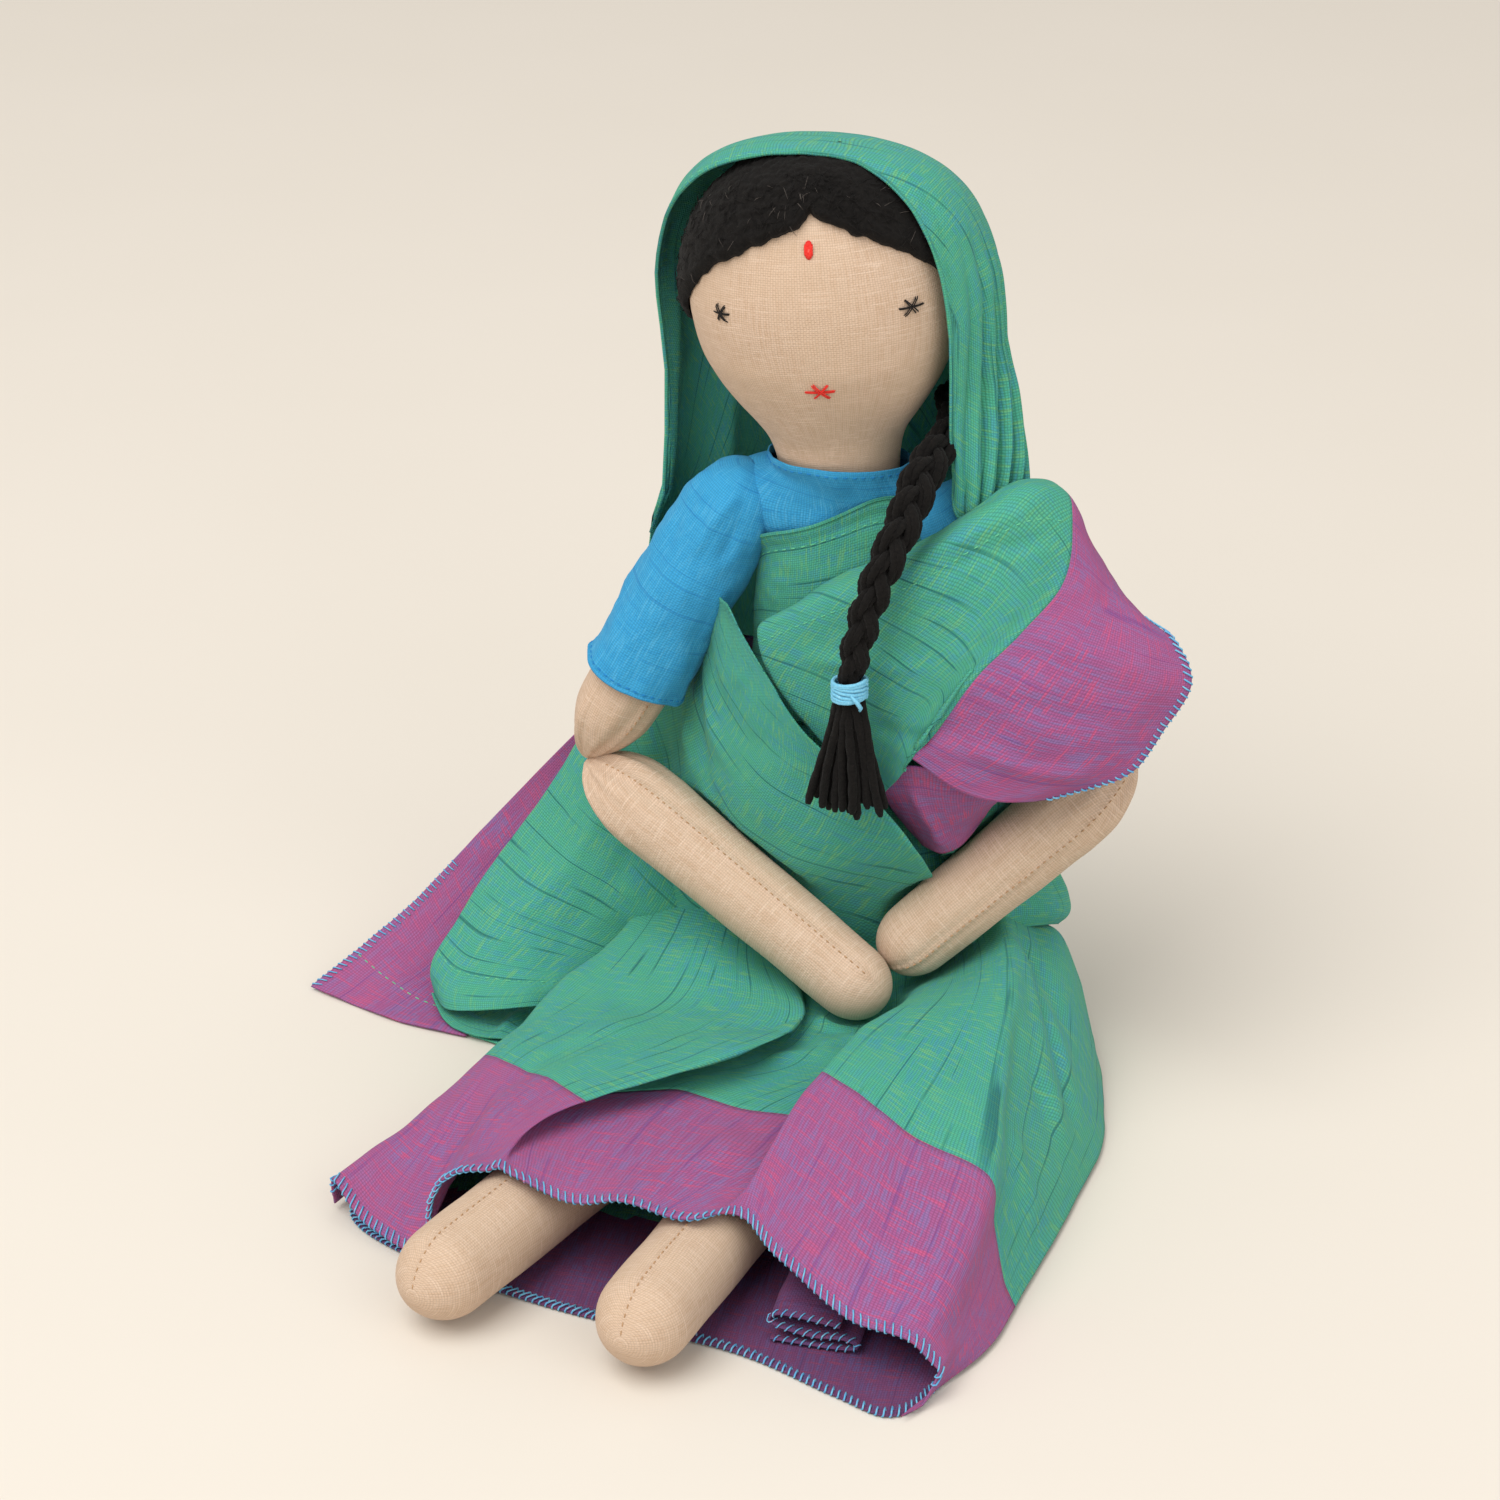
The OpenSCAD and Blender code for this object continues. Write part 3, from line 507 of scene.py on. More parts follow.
tassel = {"yarns": 28, "long": 37, "top": 138.5, "radius": 1.35}
yarnEnds = []
for k in range(tassel["yarns"]):
    angle = 2.399 * k
    r = math.sqrt((k + 0.5) / tassel["yarns"])
    s = np.linspace(0, 1, 22)
    x = 12 + r * math.cos(angle) * (2.7 + 9.0 * s ** 0.9) + 0.5 * np.sin(s * 5 + k)
    y = -46 + r * math.sin(angle) * (2.7 + 1.9 * s) + 0.4 * np.sin(s * 4 + 2 * k)
    z = tassel["top"] + 1.5 - (tassel["long"] * (0.9 + 0.13 * dice.random())) * s
    yarnEnds.append(np.stack([x, y, z], -1))
braidTassel = finishPiece(tubes("braidTassel", yarnEnds, tassel["radius"], 8, 0.25, 4.6), "braid", "black_wool",
    "braid_tassel", material=blackWool)
print("braid done")


# Head: a firmly stuffed bulb of cotton that narrows into the neck
headSides, headLevels = 128, 120
angles = np.arange(headSides) * 2 * math.pi / headSides
heights = 1 - (1 - np.cos(np.linspace(0.06, math.pi - 0.02, headLevels))) / 2
rings = np.stack([headPoint(h, 0, angles) for h in heights])
rings = wrinkle(rings, 0.35, 16, 1, ring=True)
uv = np.stack([np.stack(np.broadcast_arrays(np.append(angles, 2 * math.pi) * 36, h * 110), -1) for h in heights])
head = closedLoft("headSkin", onHead(rings), skinCotton, uv)
finishPiece(head, "torso", "beige_skin_cotton", "head_front_panel", "head_back_panel", "head_stuffing")

# Hair: a cap of felted wool with a raised, uneven face and a few loose fibres
hairline = [(0, 0.50), (30, 0.36), (60, 0.25), (90, 0.22), (120, 0.25), (150, 0.36), (180, 0.50), (198, 0.61),
    (220, 0.73), (245, 0.81),
    (262, 0.85), (272, 0.89), (282, 0.86), (300, 0.81), (322, 0.73), (342, 0.61), (360, 0.50)]
hair = {"thick": 2.4, "off": 0.5, "levels": 90, "sides": 220, "tuft": 0.55}
around = np.arange(hair["sides"]) * 360 / hair["sides"]
edge = np.interp(around, [r[0] for r in hairline], [r[1] for r in hairline])
edge = edge + 0.006 * np.sin(np.radians(around) * 31) * np.sin(np.radians(around) * 7)
levels = []
for s in np.linspace(0.035, 1, hair["levels"]):
    h = 1 - (1 - edge) * s * s
    over = hair["off"] + hair["thick"] * np.clip((1 - s) / 0.04, 0, 1) ** 0.5
    ring = headPoint(h, over, np.radians(around))
    ring[:, 2] += over * h ** 3
    levels.append(ring)
cap = np.stack(levels)
tufts = np.array([noise.noise(Vector(p / 1.7)) + 0.8 * abs(noise.noise(Vector(p / 3.4)))
    for p in cap.reshape(-1, 3)]).reshape(cap.shape[:2])
cap = cap + gridNormals(cap, True) * (tufts * hair["tuft"])[..., None]
hairGrid = np.concatenate([cap, cap[:, :1]], 1)
n, m = hairGrid.shape[:2]
faces = [(i * m + j, (i + 1) * m + j, (i + 1) * m + j + 1, i * m + j + 1) for i in range(n - 1) for j in range(m - 1)]
faces += [(n * m, j, j + 1) for j in range(m - 1)]
hairCap = newMesh("hairCap", onHead(np.concatenate([hairGrid.reshape(-1, 3), cap[0].mean(0)[None]])), faces,
    np.zeros((n * m + 1, 2)))
hairCap.data.materials.append(blackWool)
applyModifier(hairCap, "WELD", merge_threshold=0.00001)
applyModifier(hairCap, "SOLIDIFY", thickness=0.0004, offset=-1)
hairCap.data.shade_smooth()
finishPiece(hairCap, "torso", "black_wool", "hair_cap")
fibres, strays = [], []
capNormals = gridNormals(cap, True)
for k in range(900):
    i, j = dice.randrange(44, hair["levels"] - 3), dice.randrange(hair["sides"])
    p, nrm = cap[i, j], capNormals[i, j]
    slide = unit(np.cross(nrm, [dice.uniform(-1, 1), dice.uniform(-1, 1), dice.uniform(-1, 1)]))
    long = dice.uniform(1.5, 4.5)
    path = onHead(np.stack([p + slide * long * t + nrm * (0.15 + dice.uniform(0.1, 0.7) * math.sin(t * 3.1))
        for t in (0, 0.3, 0.6, 1)]))
    (strays if k % 9 == 0 else fibres).append(path)
finishPiece(tubes("hairFibres", fibres, 0.11, 3), "torso", "black_wool", material=blackWool)
finishPiece(tubes("hairLint", strays, 0.07, 3), "torso", "black_wool", material=paleLint)


# Face: star stitches, each of three bars of thread, and a small oval of satin stitch
def facePoint(x, h):
    wide = doll["headWidth"] / 2 * smoothTable(headRows, h, 1)
    deep = doll["headDepth"] / 2 * smoothTable(headRows, h, 2)
    return np.stack(np.broadcast_arrays(x, -deep * np.sqrt(np.maximum(1 - (x / wide) ** 2, 0.01)),
        h * doll["headHeight"]), -1)


def faceBar(x0, z0, x1, z1, lift):
    t = np.linspace(0, 1, 9)
    x, h = x0 + (x1 - x0) * t, (z0 + (z1 - z0) * t) / doll["headHeight"]
    p = facePoint(x, h)
    out = unit(p * np.array([1, 1.7, 0.15]) - np.array([0, 0, 0.15]) * 50)
    rise = lift * np.sin(math.pi * t) ** 0.4 - 0.25
    return onHead(p + out * rise[:, None])


def starBars(x, h, wide, tall, strands=2):
    z = h * doll["headHeight"]
    bars = []
    for k, angle in enumerate((0, 60, 120)):
        c, s = math.cos(deg(angle)) * wide / 2, math.sin(deg(angle)) * tall / 2
        for strand in range(strands):
            shift = 0.36 * (strand - (strands - 1) / 2)
            ax, az = -math.sin(deg(angle)) * shift, math.cos(deg(angle)) * shift
            j = [dice.uniform(-0.25, 0.25) for _ in range(4)]
            bars.append(faceBar(x - c + ax + j[0], z - s + az + j[1], x + c + ax + j[2], z + s + az + j[3],
                0.75 + 0.18 * k))
    return bars


eyeOut = 0.34 * doll["headWidth"]
finishPiece(tubes("rightEye", starBars(-eyeOut, 0.6, 5.2, 5.6), 0.2, 6, 0.1, 1.2), "torso", "black_thread",
    "right_eye_stitch", material=blackThread)
finishPiece(tubes("leftEye", starBars(eyeOut, 0.6, 6.4, 5.6), 0.2, 6, 0.1, 1.2), "torso", "black_thread",
    "left_eye_stitch", material=blackThread)
finishPiece(tubes("mouth", starBars(0, 0.36, 9.4, 6.0), 0.22, 6, 0.1, 1.2), "torso", "red_thread", "mouth_stitch",
    material=redThread)
bindiBars = [faceBar(x, 0.8 * 92 - 2.4 * math.sqrt(1 - (x / 1.2) ** 2), x,
    0.8 * 92 + 2.4 * math.sqrt(1 - (x / 1.2) ** 2), 0.65) for x in np.linspace(-0.95, 0.95, 7)]
finishPiece(tubes("bindi", bindiBars, 0.26, 6), "torso", "red_thread", "bindi_stitch", material=redThread)
print("head done")


# Torso: the stuffed body under the clothes
levels = np.concatenate([np.linspace(180, 12, 60), [8, 5, 3]])
angles = np.arange(72) * 2 * math.pi / 72
shrink = np.concatenate([np.zeros(60), [1.5, 4, 9]])
rings = np.stack([torsoPoint(np.full(72, z), -d, angles) for z, d in zip(levels, shrink)])
uv = np.stack([np.stack(np.broadcast_arrays(np.append(angles, 2 * math.pi) * 30, z), -1) for z in levels])
torso = closedLoft("torsoSkin", wrinkle(rings, 0.4, 20, 3, ring=True), skinCotton, uv)
finishPiece(torso, "torso", "beige_skin_cotton", "torso_front_panel", "torso_back_panel", "torso_stuffing")


# Arms and legs: cotton tubes pinched to a seam at one end or both
def narrowEnd(r):
    return [(0.5, 1.5), (2.5, 3.4), (6, 0.42 * r + 1), (10, 0.7 * r), (17, 0.92 * r), (27, r)]


def stuffedLimb(name, a, b, look, body, nodes):
    a, b = np.asarray(a, float), np.asarray(b, float)
    long, way = np.linalg.norm(b - a), unit(b - a)
    seamWay = unit(np.asarray(look["seam"], float) - way * (way @ np.asarray(look["seam"], float)))
    over = np.cross(way, seamWay)
    start = curveThrough(narrowEnd(look["radius"]), 9)
    if look["tip"]:
        turn = np.linspace(0, math.pi / 2 - 0.05, 26)
        end = np.stack([long + look["tip"] * look["point"] * np.sin(turn),
            look["tip"] * np.cos(turn) ** look["nose"]], 1)
        end = np.concatenate([[(long - 12, look["tip"] * 1.01)], end])
    else:
        end = curveThrough(narrowEnd(0.96 * look["radius"]), 9)[::-1] * np.array([-1, 1]) + np.array([long, 0])
    profile = np.concatenate([start, end])
    s = np.concatenate([[0], np.cumsum(np.linalg.norm(np.diff(profile, axis=0), axis=1))])
    fine = np.linspace(0, s[-1], look["rings"])
    d, r = np.interp(fine, s, profile[:, 0]), np.interp(fine, s, profile[:, 1])
    for _ in range(3):
        r[1:-1] = (r[:-2] + 2 * r[1:-1] + r[2:]) / 4
    sides = look["sides"]
    turn = np.arange(sides) * 2 * math.pi / sides
    nearA, nearB = np.exp(-d / 11), np.zeros_like(d) if look["tip"] else np.exp(-(long - d) / 11)
    pinch = (nearA + nearB)[:, None]
    gather = pinch * (0.16 * np.cos(turn * 7 + look["seed"]) + 0.08
        * np.cos(turn * 13)) * np.clip(r / 4, 0, 1)[:, None]
    off = np.minimum(turn, 2 * math.pi - turn)[None] * r[:, None]
    ridge = 0.28 * np.exp(-(off / 0.55) ** 2) - 0.32 * np.exp(-((off - 1.6) / 1.1) ** 2)
    ridge = ridge + 0.16 * np.sin(fine * 2 * math.pi / 2.3)[:, None] * np.exp(-(off / 2.6) ** 2)
    sway = 0.3 * np.array([[noise.noise(Vector((x / 15, math.cos(t) * 0.8, math.sin(t) * 0.8 + look["seed"])))
        for t in turn] for x in d])
    radius = r[:, None] * (1 + gather) + (ridge + sway) * np.clip((r[:, None] - 2) / 4, 0, 1)
    wide = 1 + 0.35 * pinch
    rings = a + way * d[:, None, None] + seamWay * (radius * np.cos(turn) / wide)[..., None] + over * (radius
        * np.sin(turn) * wide)[..., None]
    halfTurn = np.append(turn, 2 * math.pi)
    halfTurn = np.where(halfTurn <= math.pi, halfTurn - math.pi / 2,
        3 * math.pi / 2 - halfTurn)  # each panel measured from its middle
    uv = np.stack(np.broadcast_arrays(halfTurn[None] * r[:, None], fine[:, None]), -1)
    piece = closedLoft(name, rings[::-1], skinCotton, uv[::-1])
    finishPiece(piece, body, "beige_skin_cotton", *nodes)
    shown = slice(look["rings"] * look["stitched"][0] // 100, look["rings"] * look["stitched"][1] // 100)
    line = rings[shown, 0]
    bars = stitchPaths(line, np.broadcast_to(seamWay, line.shape) + way * 0.0, 1.3, 1.1, 0.05, 0.3)
    seamPiece(name + "Seam", body, "beige_skin_cotton", bars, 0.2, seamThread, 5)
    return piece


armLook = {"radius": 12.5, "tip": 11.25, "point": 1.12, "nose": 0.95, "rings": 150, "sides": 72, "seed": 1,
    "seam": (0, -0.4, 1), "stitched": (6, 90)}
upperLook = dict(armLook, tip=0, rings=120, stitched=(8, 84))
stuffedLimb("rightUpperArm", doll["rightShoulder"], doll["rightElbow"], dict(upperLook, seam=(0.75, -0.7, 0), seed=2),
    "right_upper_arm", ["right_upper_arm_skin", "right_upper_arm_stuffing"])
stuffedLimb("rightForearm", doll["rightElbow"], doll["rightHand"], dict(armLook, seam=(0.1, -0.55, 0.9), seed=3),
    "right_forearm", ["right_forearm_skin", "right_forearm_stuffing"])
stuffedLimb("leftUpperArm", doll["leftShoulder"], doll["leftElbow"], dict(upperLook, seam=(0.75, -0.7, 0), seed=4),
    "left_upper_arm", ["left_upper_arm_skin", "left_upper_arm_stuffing"])
stuffedLimb("leftForearm", doll["leftElbow"], doll["leftHand"], dict(armLook, seam=(0.6, -0.85, 0.1), seed=5),
    "left_forearm", ["left_forearm_skin", "left_forearm_stuffing"])
legLook = {"radius": 14, "tip": 13.02, "point": 1.12, "nose": 1.12, "rings": 190, "sides": 80, "seam": (0, 0, 1),
    "stitched": (58, 99)}
for side, hip, lean, seed in (("right", doll["rightHip"], (-0.32, -0.947, 0), 6),
        ("left", doll["leftHip"], (-0.183, -0.983, 0), 7)):
    tip = np.asarray(hip, float) + 154.98 * unit(np.asarray(lean, float))
    stuffedLimb(side + "Leg", hip, tip, dict(legLook, seed=seed), side + "_leg",
        [side + "_leg_skin", side + "_leg_stuffing"])
print("limbs done")


# Blouse: a body piece with a plain neckline and two short set-in sleeves
def shoulderPuff(z, angles):
    # how far the blouse stands out over the shoulders, more on the right where the sleeve is set in
    z, angles = np.broadcast_arrays(np.asarray(z, float), angles)
    rightSide = np.clip(-np.cos(angles), 0, 1)
    out = 9 * np.exp(-((z - 174) / 9) ** 2) * np.cos(angles) ** 2 + 11 * rightSide ** 0.8 * np.exp(-((z
        - 176) / 8) ** 2)
    return np.stack([out * np.cos(angles), out * 0.4 * np.sin(angles),
        8 * rightSide * np.exp(-((z - 182.5) / 6) ** 2)], -1)


angles = np.arange(120) * 2 * math.pi / 120
neckRow = np.linspace(0, 1, 60) ** 1.3
blouseRows = []
for share in neckRow:
    z = 189.5 - 83.5 * share
    collar = np.clip((z - 176) / 12, 0, 1)
    ring = torsoPoint(np.full(120, min(z, 182.0)), 1.7, angles) + shoulderPuff(z, angles) + [0, 0, max(z - 182, 0)]
    neck = np.stack([-3.3 + 20.6 * np.cos(angles), 3 + 16.4 * np.sin(angles),
        np.full(120, z) - 1.2 * np.sin(angles)], -1)
    blouseRows.append(ring * (1 - collar) + neck * collar)
blouseRows = np.stack(blouseRows)
blouseRows = wrinkle(blouseRows, 0.7, (9, 9, 16), 5, ring=True)
blouseRows = crease(blouseRows, [(-27, -2, 190), (-27, -9, 181), (-25, -14, 171), (-24, -16, 158)], 2.4,
    2.6, ring=True)
blouseRows = crease(blouseRows, [(-23, -5, 187), (-21, -11, 178), (-20, -15, 168), (-19, -17, 158)], 1.5,
    -1.8, ring=True)
blouseRows = crease(blouseRows, [(-36, -3, 189), (-36, -10, 180), (-33, -15, 168)], 1.8, -1.6, ring=True)
blouseRows = crease(blouseRows, [(-14, -14, 178), (0, -17, 170), (12, -17, 166)], 1.8, 0.7, ring=True)
blouse = clothPiece("blouseBody", blouseRows, blouseCotton, ring=True, turned=True)
neckLine = blouseRows[3]
seamPiece("necklineSeam", "torso", "blue_blouse_cotton", stitchPaths(neckLine, gridNormals(blouseRows, True)[3], 1.6,
    1.0, 0.1), 0.2, blueSewing)
sheetPiece(blouse, np.concatenate([blouseRows, blouseRows[:, :1]], 1), "torso", "blue_blouse_cotton", "gathered",
    ["torsoSkin"], "blouse_body")


def sleevePiece(name, shoulder, elbow, body, node, seed, puff):
    shoulder, way = np.asarray(shoulder, float), unit(np.asarray(elbow, float) - np.asarray(shoulder, float))
    side = unit(np.cross(way, [0, -1, 0.2]))
    over = np.cross(way, side)
    rows = curveThrough([(-12.5, 1.0), (-10.5, 6.5), (-6, 10.6), (1, 13.2), (10, 14.4), (24, 15.2), (44, 15.3),
        (60, 15.6), (63, 15.8)], 9)
    turn = np.arange(96) * 2 * math.pi / 96
    g = np.stack([shoulder + way * d + (r * np.cos(turn))[:, None] * side + (r * np.sin(turn))[:, None] * over
        for d, r in rows])
    calm = np.clip(np.linspace(0, 6, len(rows)), 0, 1)[:, None] * np.ones(96)
    g = wrinkle(g, 0.9, (8, 8, 15), seed, ring=True, keep=calm)
    for line, width, height in puff:
        g = crease(g, line, width, height, ring=True)
    g = g - way * (0.8 * np.sin(turn * 3 + seed))[None, :, None] * np.linspace(0, 1, len(rows))[:, None, None] ** 3
    g = g[:, ::-1] if np.cross(g[1, 0] - g[0, 0], g[0, 1] - g[0, 0]) @ (g[0, 0] - g[0].mean(0)) < 0 else g
    piece = clothPiece(name, g, blouseCotton, ring=True, turned=True)
    nrm = gridNormals(g, True)
    row = len(rows) - 8
    paths = stitchPaths(np.concatenate([g[row], g[row][:1]]), np.concatenate([nrm[row], nrm[row][:1]]),
        1.7, 1.0, 0.12)
    seam = seamPiece(name + "Hem", body, "blue_blouse_cotton", paths, 0.2, blueSewing)
    fold = g[-1] + nrm[-1] * -0.2
    roll = tubes(name + "Roll", [np.concatenate([fold, fold[:1]])], 0.5, 8, taper=1)
    roll.data.materials.append(blouseCotton)
    finishPiece(roll, body, "blue_blouse_cotton")
    sheetPiece(piece, np.concatenate([g, g[:, :1]], 1), body, "blue_blouse_cotton", "gathered",
        ["rightUpperArm" if body == "right_upper_arm" else "leftUpperArm"], node, along=[seam, roll])


rightPuff = [([(-24, -13, 178), (-30, -15, 168), (-34, -16, 158)], 2.0, 1.3),
    ([(-28, -10, 182), (-36, -14, 172), (-42, -16, 160)], 1.8, -1.0),
    ([(-36, -6, 184), (-46, -10, 170), (-54, -12, 152)], 2.6, 0.9)]
sleevePiece("rightSleeve", doll["rightShoulder"], doll["rightElbow"], "right_upper_arm",
    "blouse_right_sleeve", 2, rightPuff)
sleevePiece("leftSleeve", doll["leftShoulder"], doll["leftElbow"], "left_upper_arm", "blouse_left_sleeve", 3, [])
print("blouse done")


# Sari skirt: the panel over the legs. Row 4 is the line where the woven border starts
skirtRows = [
    [(-60, 25, 1.6), (-61, 26, 18), (-61, 25, 43), (-53, 17, 48), (-44, 8, 51), (-34, -2, 52), (-16, -13.5, 47),
    (-6, -14, 42), (4, -14, 38),
     (11, -13, 35), (18, -11.5, 35), (26, -8, 37), (32, -4, 39), (36, 0, 41), (39, 6, 43), (46, 12, 40), (58, 20, 32),
    (68, 24, 1.6)],
    [(-70, -4, 1.6), (-69, -6, 15), (-66, -8, 33), (-57, -14, 37), (-46, -19, 40), (-33, -22, 41), (-14, -23, 37),
    (-4, -21, 33), (4, -20.5, 31.6),
     (12, -20.5, 31.8), (20, -20, 32.5), (30, -17, 36), (38, -12, 41), (44, -7, 46), (49, -1, 50), (56, 6, 43),
    (66, 13, 34), (75, 17, 1.6)],
    [(-82, -34, 1.6), (-80, -36, 15), (-76, -39, 30), (-64, -44, 32.5), (-50, -46, 33.5), (-34, -47, 34),
    (0, -52, 37), (-6, -48, 32.2), (6, -48, 31.8),
     (16, -48, 31.9), (27, -48, 33), (29, -45, 43), (43, -42, 47), (52, -40, 48.5), (60, -38, 48), (66, -33, 38),
    (77, -30, 24), (87, -31, 1.6)],
    [(-90, -48, 1.6), (-87, -52, 14), (-81, -58, 27), (-72, -63, 31), (-60, -68, 33.5), (-46, -73, 36),
    (-10, -83, 42), (-20, -73, 32.5), (-1, -70, 31.8),
     (13, -70, 31.8), (28, -68, 33), (22, -68, 46), (38, -72, 46.5), (52, -76, 44.5), (65, -80, 41), (70, -76, 30),
    (79, -67, 18), (87, -62, 1.6)],
    [(-95, -64, 1.6), (-93, -69, 12), (-88, -77, 24.5), (-82, -83, 28), (-74, -90, 31.5), (-64, -98, 35),
    (-45, -115, 40), (-52, -103, 32.5), (-28, -91, 31.8),
     (-6, -95, 31.8), (22, -94, 32.5), (16, -91, 45), (32, -99, 42), (48, -107, 38), (68, -112, 33), (71, -116, 20),
    (75, -123, 8), (79, -126, 1.6)],
    [(-106, -96, 1.6), (-105, -99, 8), (-101, -104, 17), (-93, -110, 17.5), (-84, -115, 20), (-75, -121, 29),
    (-57, -128, 37), (-60, -121, 32.2), (-36, -119, 31.8),
     (-14, -122, 32), (15, -121, 32), (10, -117, 39), (27, -126, 34), (46, -136, 30), (66, -142, 24), (70, -143, 13),
    (73, -147, 6), (75, -148, 1.6)],
    [(-116, -128, 1.6), (-116, -129, 6), (-115, -130, 12), (-104, -138, 6), (-92, -144, 3), (-80, -146, 9),
    (-64, -142, 31), (-56, -145, 31.8), (-38, -149, 31.8),
     (-20, -150, 32), (-4, -151, 31.5), (8, -144, 31), (20, -154, 25), (42, -165, 19), (60, -167, 15), (67, -168, 8),
    (65, -174, 3), (60, -181, 1.6)]]
perRow, perColumn = 14, 9
skirt = gridThrough(skirtRows, perRow, perColumn)
skirt = wrinkle(skirt, 0.7, (16, 26, 16), 8)
skirtFolds = [([(8, -52, 35), (-10, -62, 36), (-30, -70, 35), (-52, -78, 33)], 4, -1.2),
    ([(20, -50, 34), (10, -46, 34), (2, -42, 33)], 3, 3.0), ([(32, -50, 37), (16, -53, 34), (4, -60, 34)], 2.4, 2.8),
    ([(26, -46, 34), (14, -48, 33), (2, -50, 33)], 1.8, -2.2), ([(24, -58, 33), (8, -62, 33), (-8, -70, 33)], 3, 1.8),
    ([(52, -4, 48), (66, -16, 40), (80, -30, 26)], 4, -1.6),
    ([(54, -8, 50), (70, -30, 40), (84, -44, 20)], 3.5, 1.8), ([(64, -20, 44), (74, -50, 34), (84, -70, 14)], 4, 1.6),
    ([(62, -40, 46), (68, -70, 38), (70, -100, 30)], 3.5, -1.5),
    ([(-70, -60, 32), (-84, -92, 24), (-96, -118, 16)], 5, 1.2),
    ([(-56, -70, 34), (-72, -100, 31), (-86, -132, 16)], 5, -1.3),
    ([(0, -104, 32), (-12, -126, 32), (-22, -150, 32)], 4, 1.1),
    ([(30, -84, 42), (27, -116, 37), (24, -150, 27)], 5, 1.0),
    ([(46, -92, 40), (45, -122, 34), (44, -160, 22)], 5, -0.9),
    ([(54, 0, 48), (72, -20, 38), (86, -34, 18)], 2.6, 2.0),
    ([(58, -10, 47), (74, -40, 32), (84, -58, 14)], 2.6, -1.8),
    ([(68, -84, 34), (76, -92, 22), (82, -96, 8)], 4, 1.8), ([(69, -58, 36), (78, -66, 24), (86, -70, 10)], 3, -1.6),
    ([(-24, -62, 35), (-48, -86, 36), (-66, -116, 33)], 4, 1.2),
    ([(-40, -56, 34), (-64, -80, 33), (-84, -112, 20)], 4, 0.9)]
for line, width, height in skirtFolds:
    skirt = crease(skirt, line, width, height)
hemWave = np.clip((np.arange(len(skirt)) - 5 * perRow) / perRow, 0, 1)[:, None] ** 2
runs = np.arange(skirt.shape[1])[None]
skirt[..., 2] += hemWave * (0.9 * np.sin(runs * 0.42) + 0.7 * np.sin(runs * 0.23 + 1))
for hip, lean in ((doll["rightHip"], (-0.32, -0.947)), (doll["leftHip"], (-0.183, -0.983))):
    for swing in (-3, 0, 3):  # the legs turn this far each way
        c, s = math.cos(deg(swing)), math.sin(deg(swing))
        way = unit(np.array([lean[0] * c - lean[1] * s, lean[0] * s + lean[1] * c, 0]))
        skirt = keepOff(skirt, hip, np.asarray(hip) + 168 * way, 15.3)
for side, r in (("right", 13.6), ("left", 13.4)):
    skirt = keepOff(skirt, doll[side + "Elbow"], doll[side + "Hand"], r)
skirt[..., 2] = np.maximum(skirt[..., 2], 1.75)
threads = threadsOf(skirt)
borderRow = 4 * perRow
skirtGreen = clothPiece("sariSkirt", skirt[:borderRow + 1], sariGreen, uv=threads[:borderRow + 1])
skirtPurple = clothPiece("sariSkirtBorder", skirt[borderRow:], sariPurple, uv=threads[borderRow:])
nrm = gridNormals(skirt)
hemEdge = overlockPath(skirt[-1, 10:-12], skirt[-2, 10:-12] - skirt[-1, 10:-12], nrm[-1, 10:-12], 2.8, 2.2)
skirtHem = seamPiece("skirtOverlock", "torso", "purple_border_cotton", [hemEdge], 0.24, hemThread, 5)
sheetPiece(skirtGreen, skirt[:borderRow + 1], "torso", "green_sari_cotton", "draped",
    ["rightLeg", "leftLeg"], "sari_skirt")
sheetPiece(skirtPurple, skirt[borderRow:], "torso", "purple_border_cotton", "draped", ["rightLeg", "leftLeg"],
    "sari_skirt_border", along=[skirtHem])
print("skirt done")


# Cloth under the doll, its border showing in front of the feet
underlay = {"centre": (0, -62), "outline": [(-58, 24), (-62, 10), (-78, -30), (-92, -66), (-104, -100), (-110, -130),
    (-80, -148), (-40, -158),
    (10, -164), (40, -175), (57, -180), (66, -166), (76, -124), (84, -60), (82, -30), (72, 10), (56, 34), (0, 40),
    (-40, 34)], "borderFrom": -112, "fills": 0.78}
outline = curveThrough(underlay["outline"], 10, closed=True)[::-1]
spread = np.linspace(1, 0.03, 34)[:, None, None]
flat = np.concatenate([outline, np.zeros((len(outline), 1))], 1)
middle = np.array(underlay["centre"] + (0,), float)
bed = middle + (flat - middle)[None] * spread
bed[..., 2] = 1.15
bed = wrinkle(bed, 0.25, 22, 9, ring=True)
bed[..., 2] = np.clip(bed[..., 2], 0.75, 1.3)
uv = np.concatenate([bed, bed[:, :1]], 1)[..., :2]
bedCloth = clothPiece("sariUnderlay", bed[::-1, ::-1], sariGreen, ring=True, uv=uv[::-1, ::-1])
# the border faces take the purple darkened as painted shade, for the shaded opening under the hem
bedCloth.data.materials.append(paintedShadePurple)
for face in bedCloth.data.polygons:
    face.material_index = int(face.center.y < underlay["borderFrom"] * 0.001)
front = [k for k in range(len(outline)) if outline[k][1] < -100]
bedEdge = bed[0][front]
bedHem = seamPiece("underlayOverlock", "torso", "purple_border_cotton",
    [overlockPath(bedEdge, middle - bedEdge, np.broadcast_to([0, 0, 1.0], bedEdge.shape), 2.6)
    + np.array([0, 0, 0.25])], 0.26, hemThread, 5)
finishPiece(bedCloth, "torso", "green_sari_cotton", "sari_underlay")
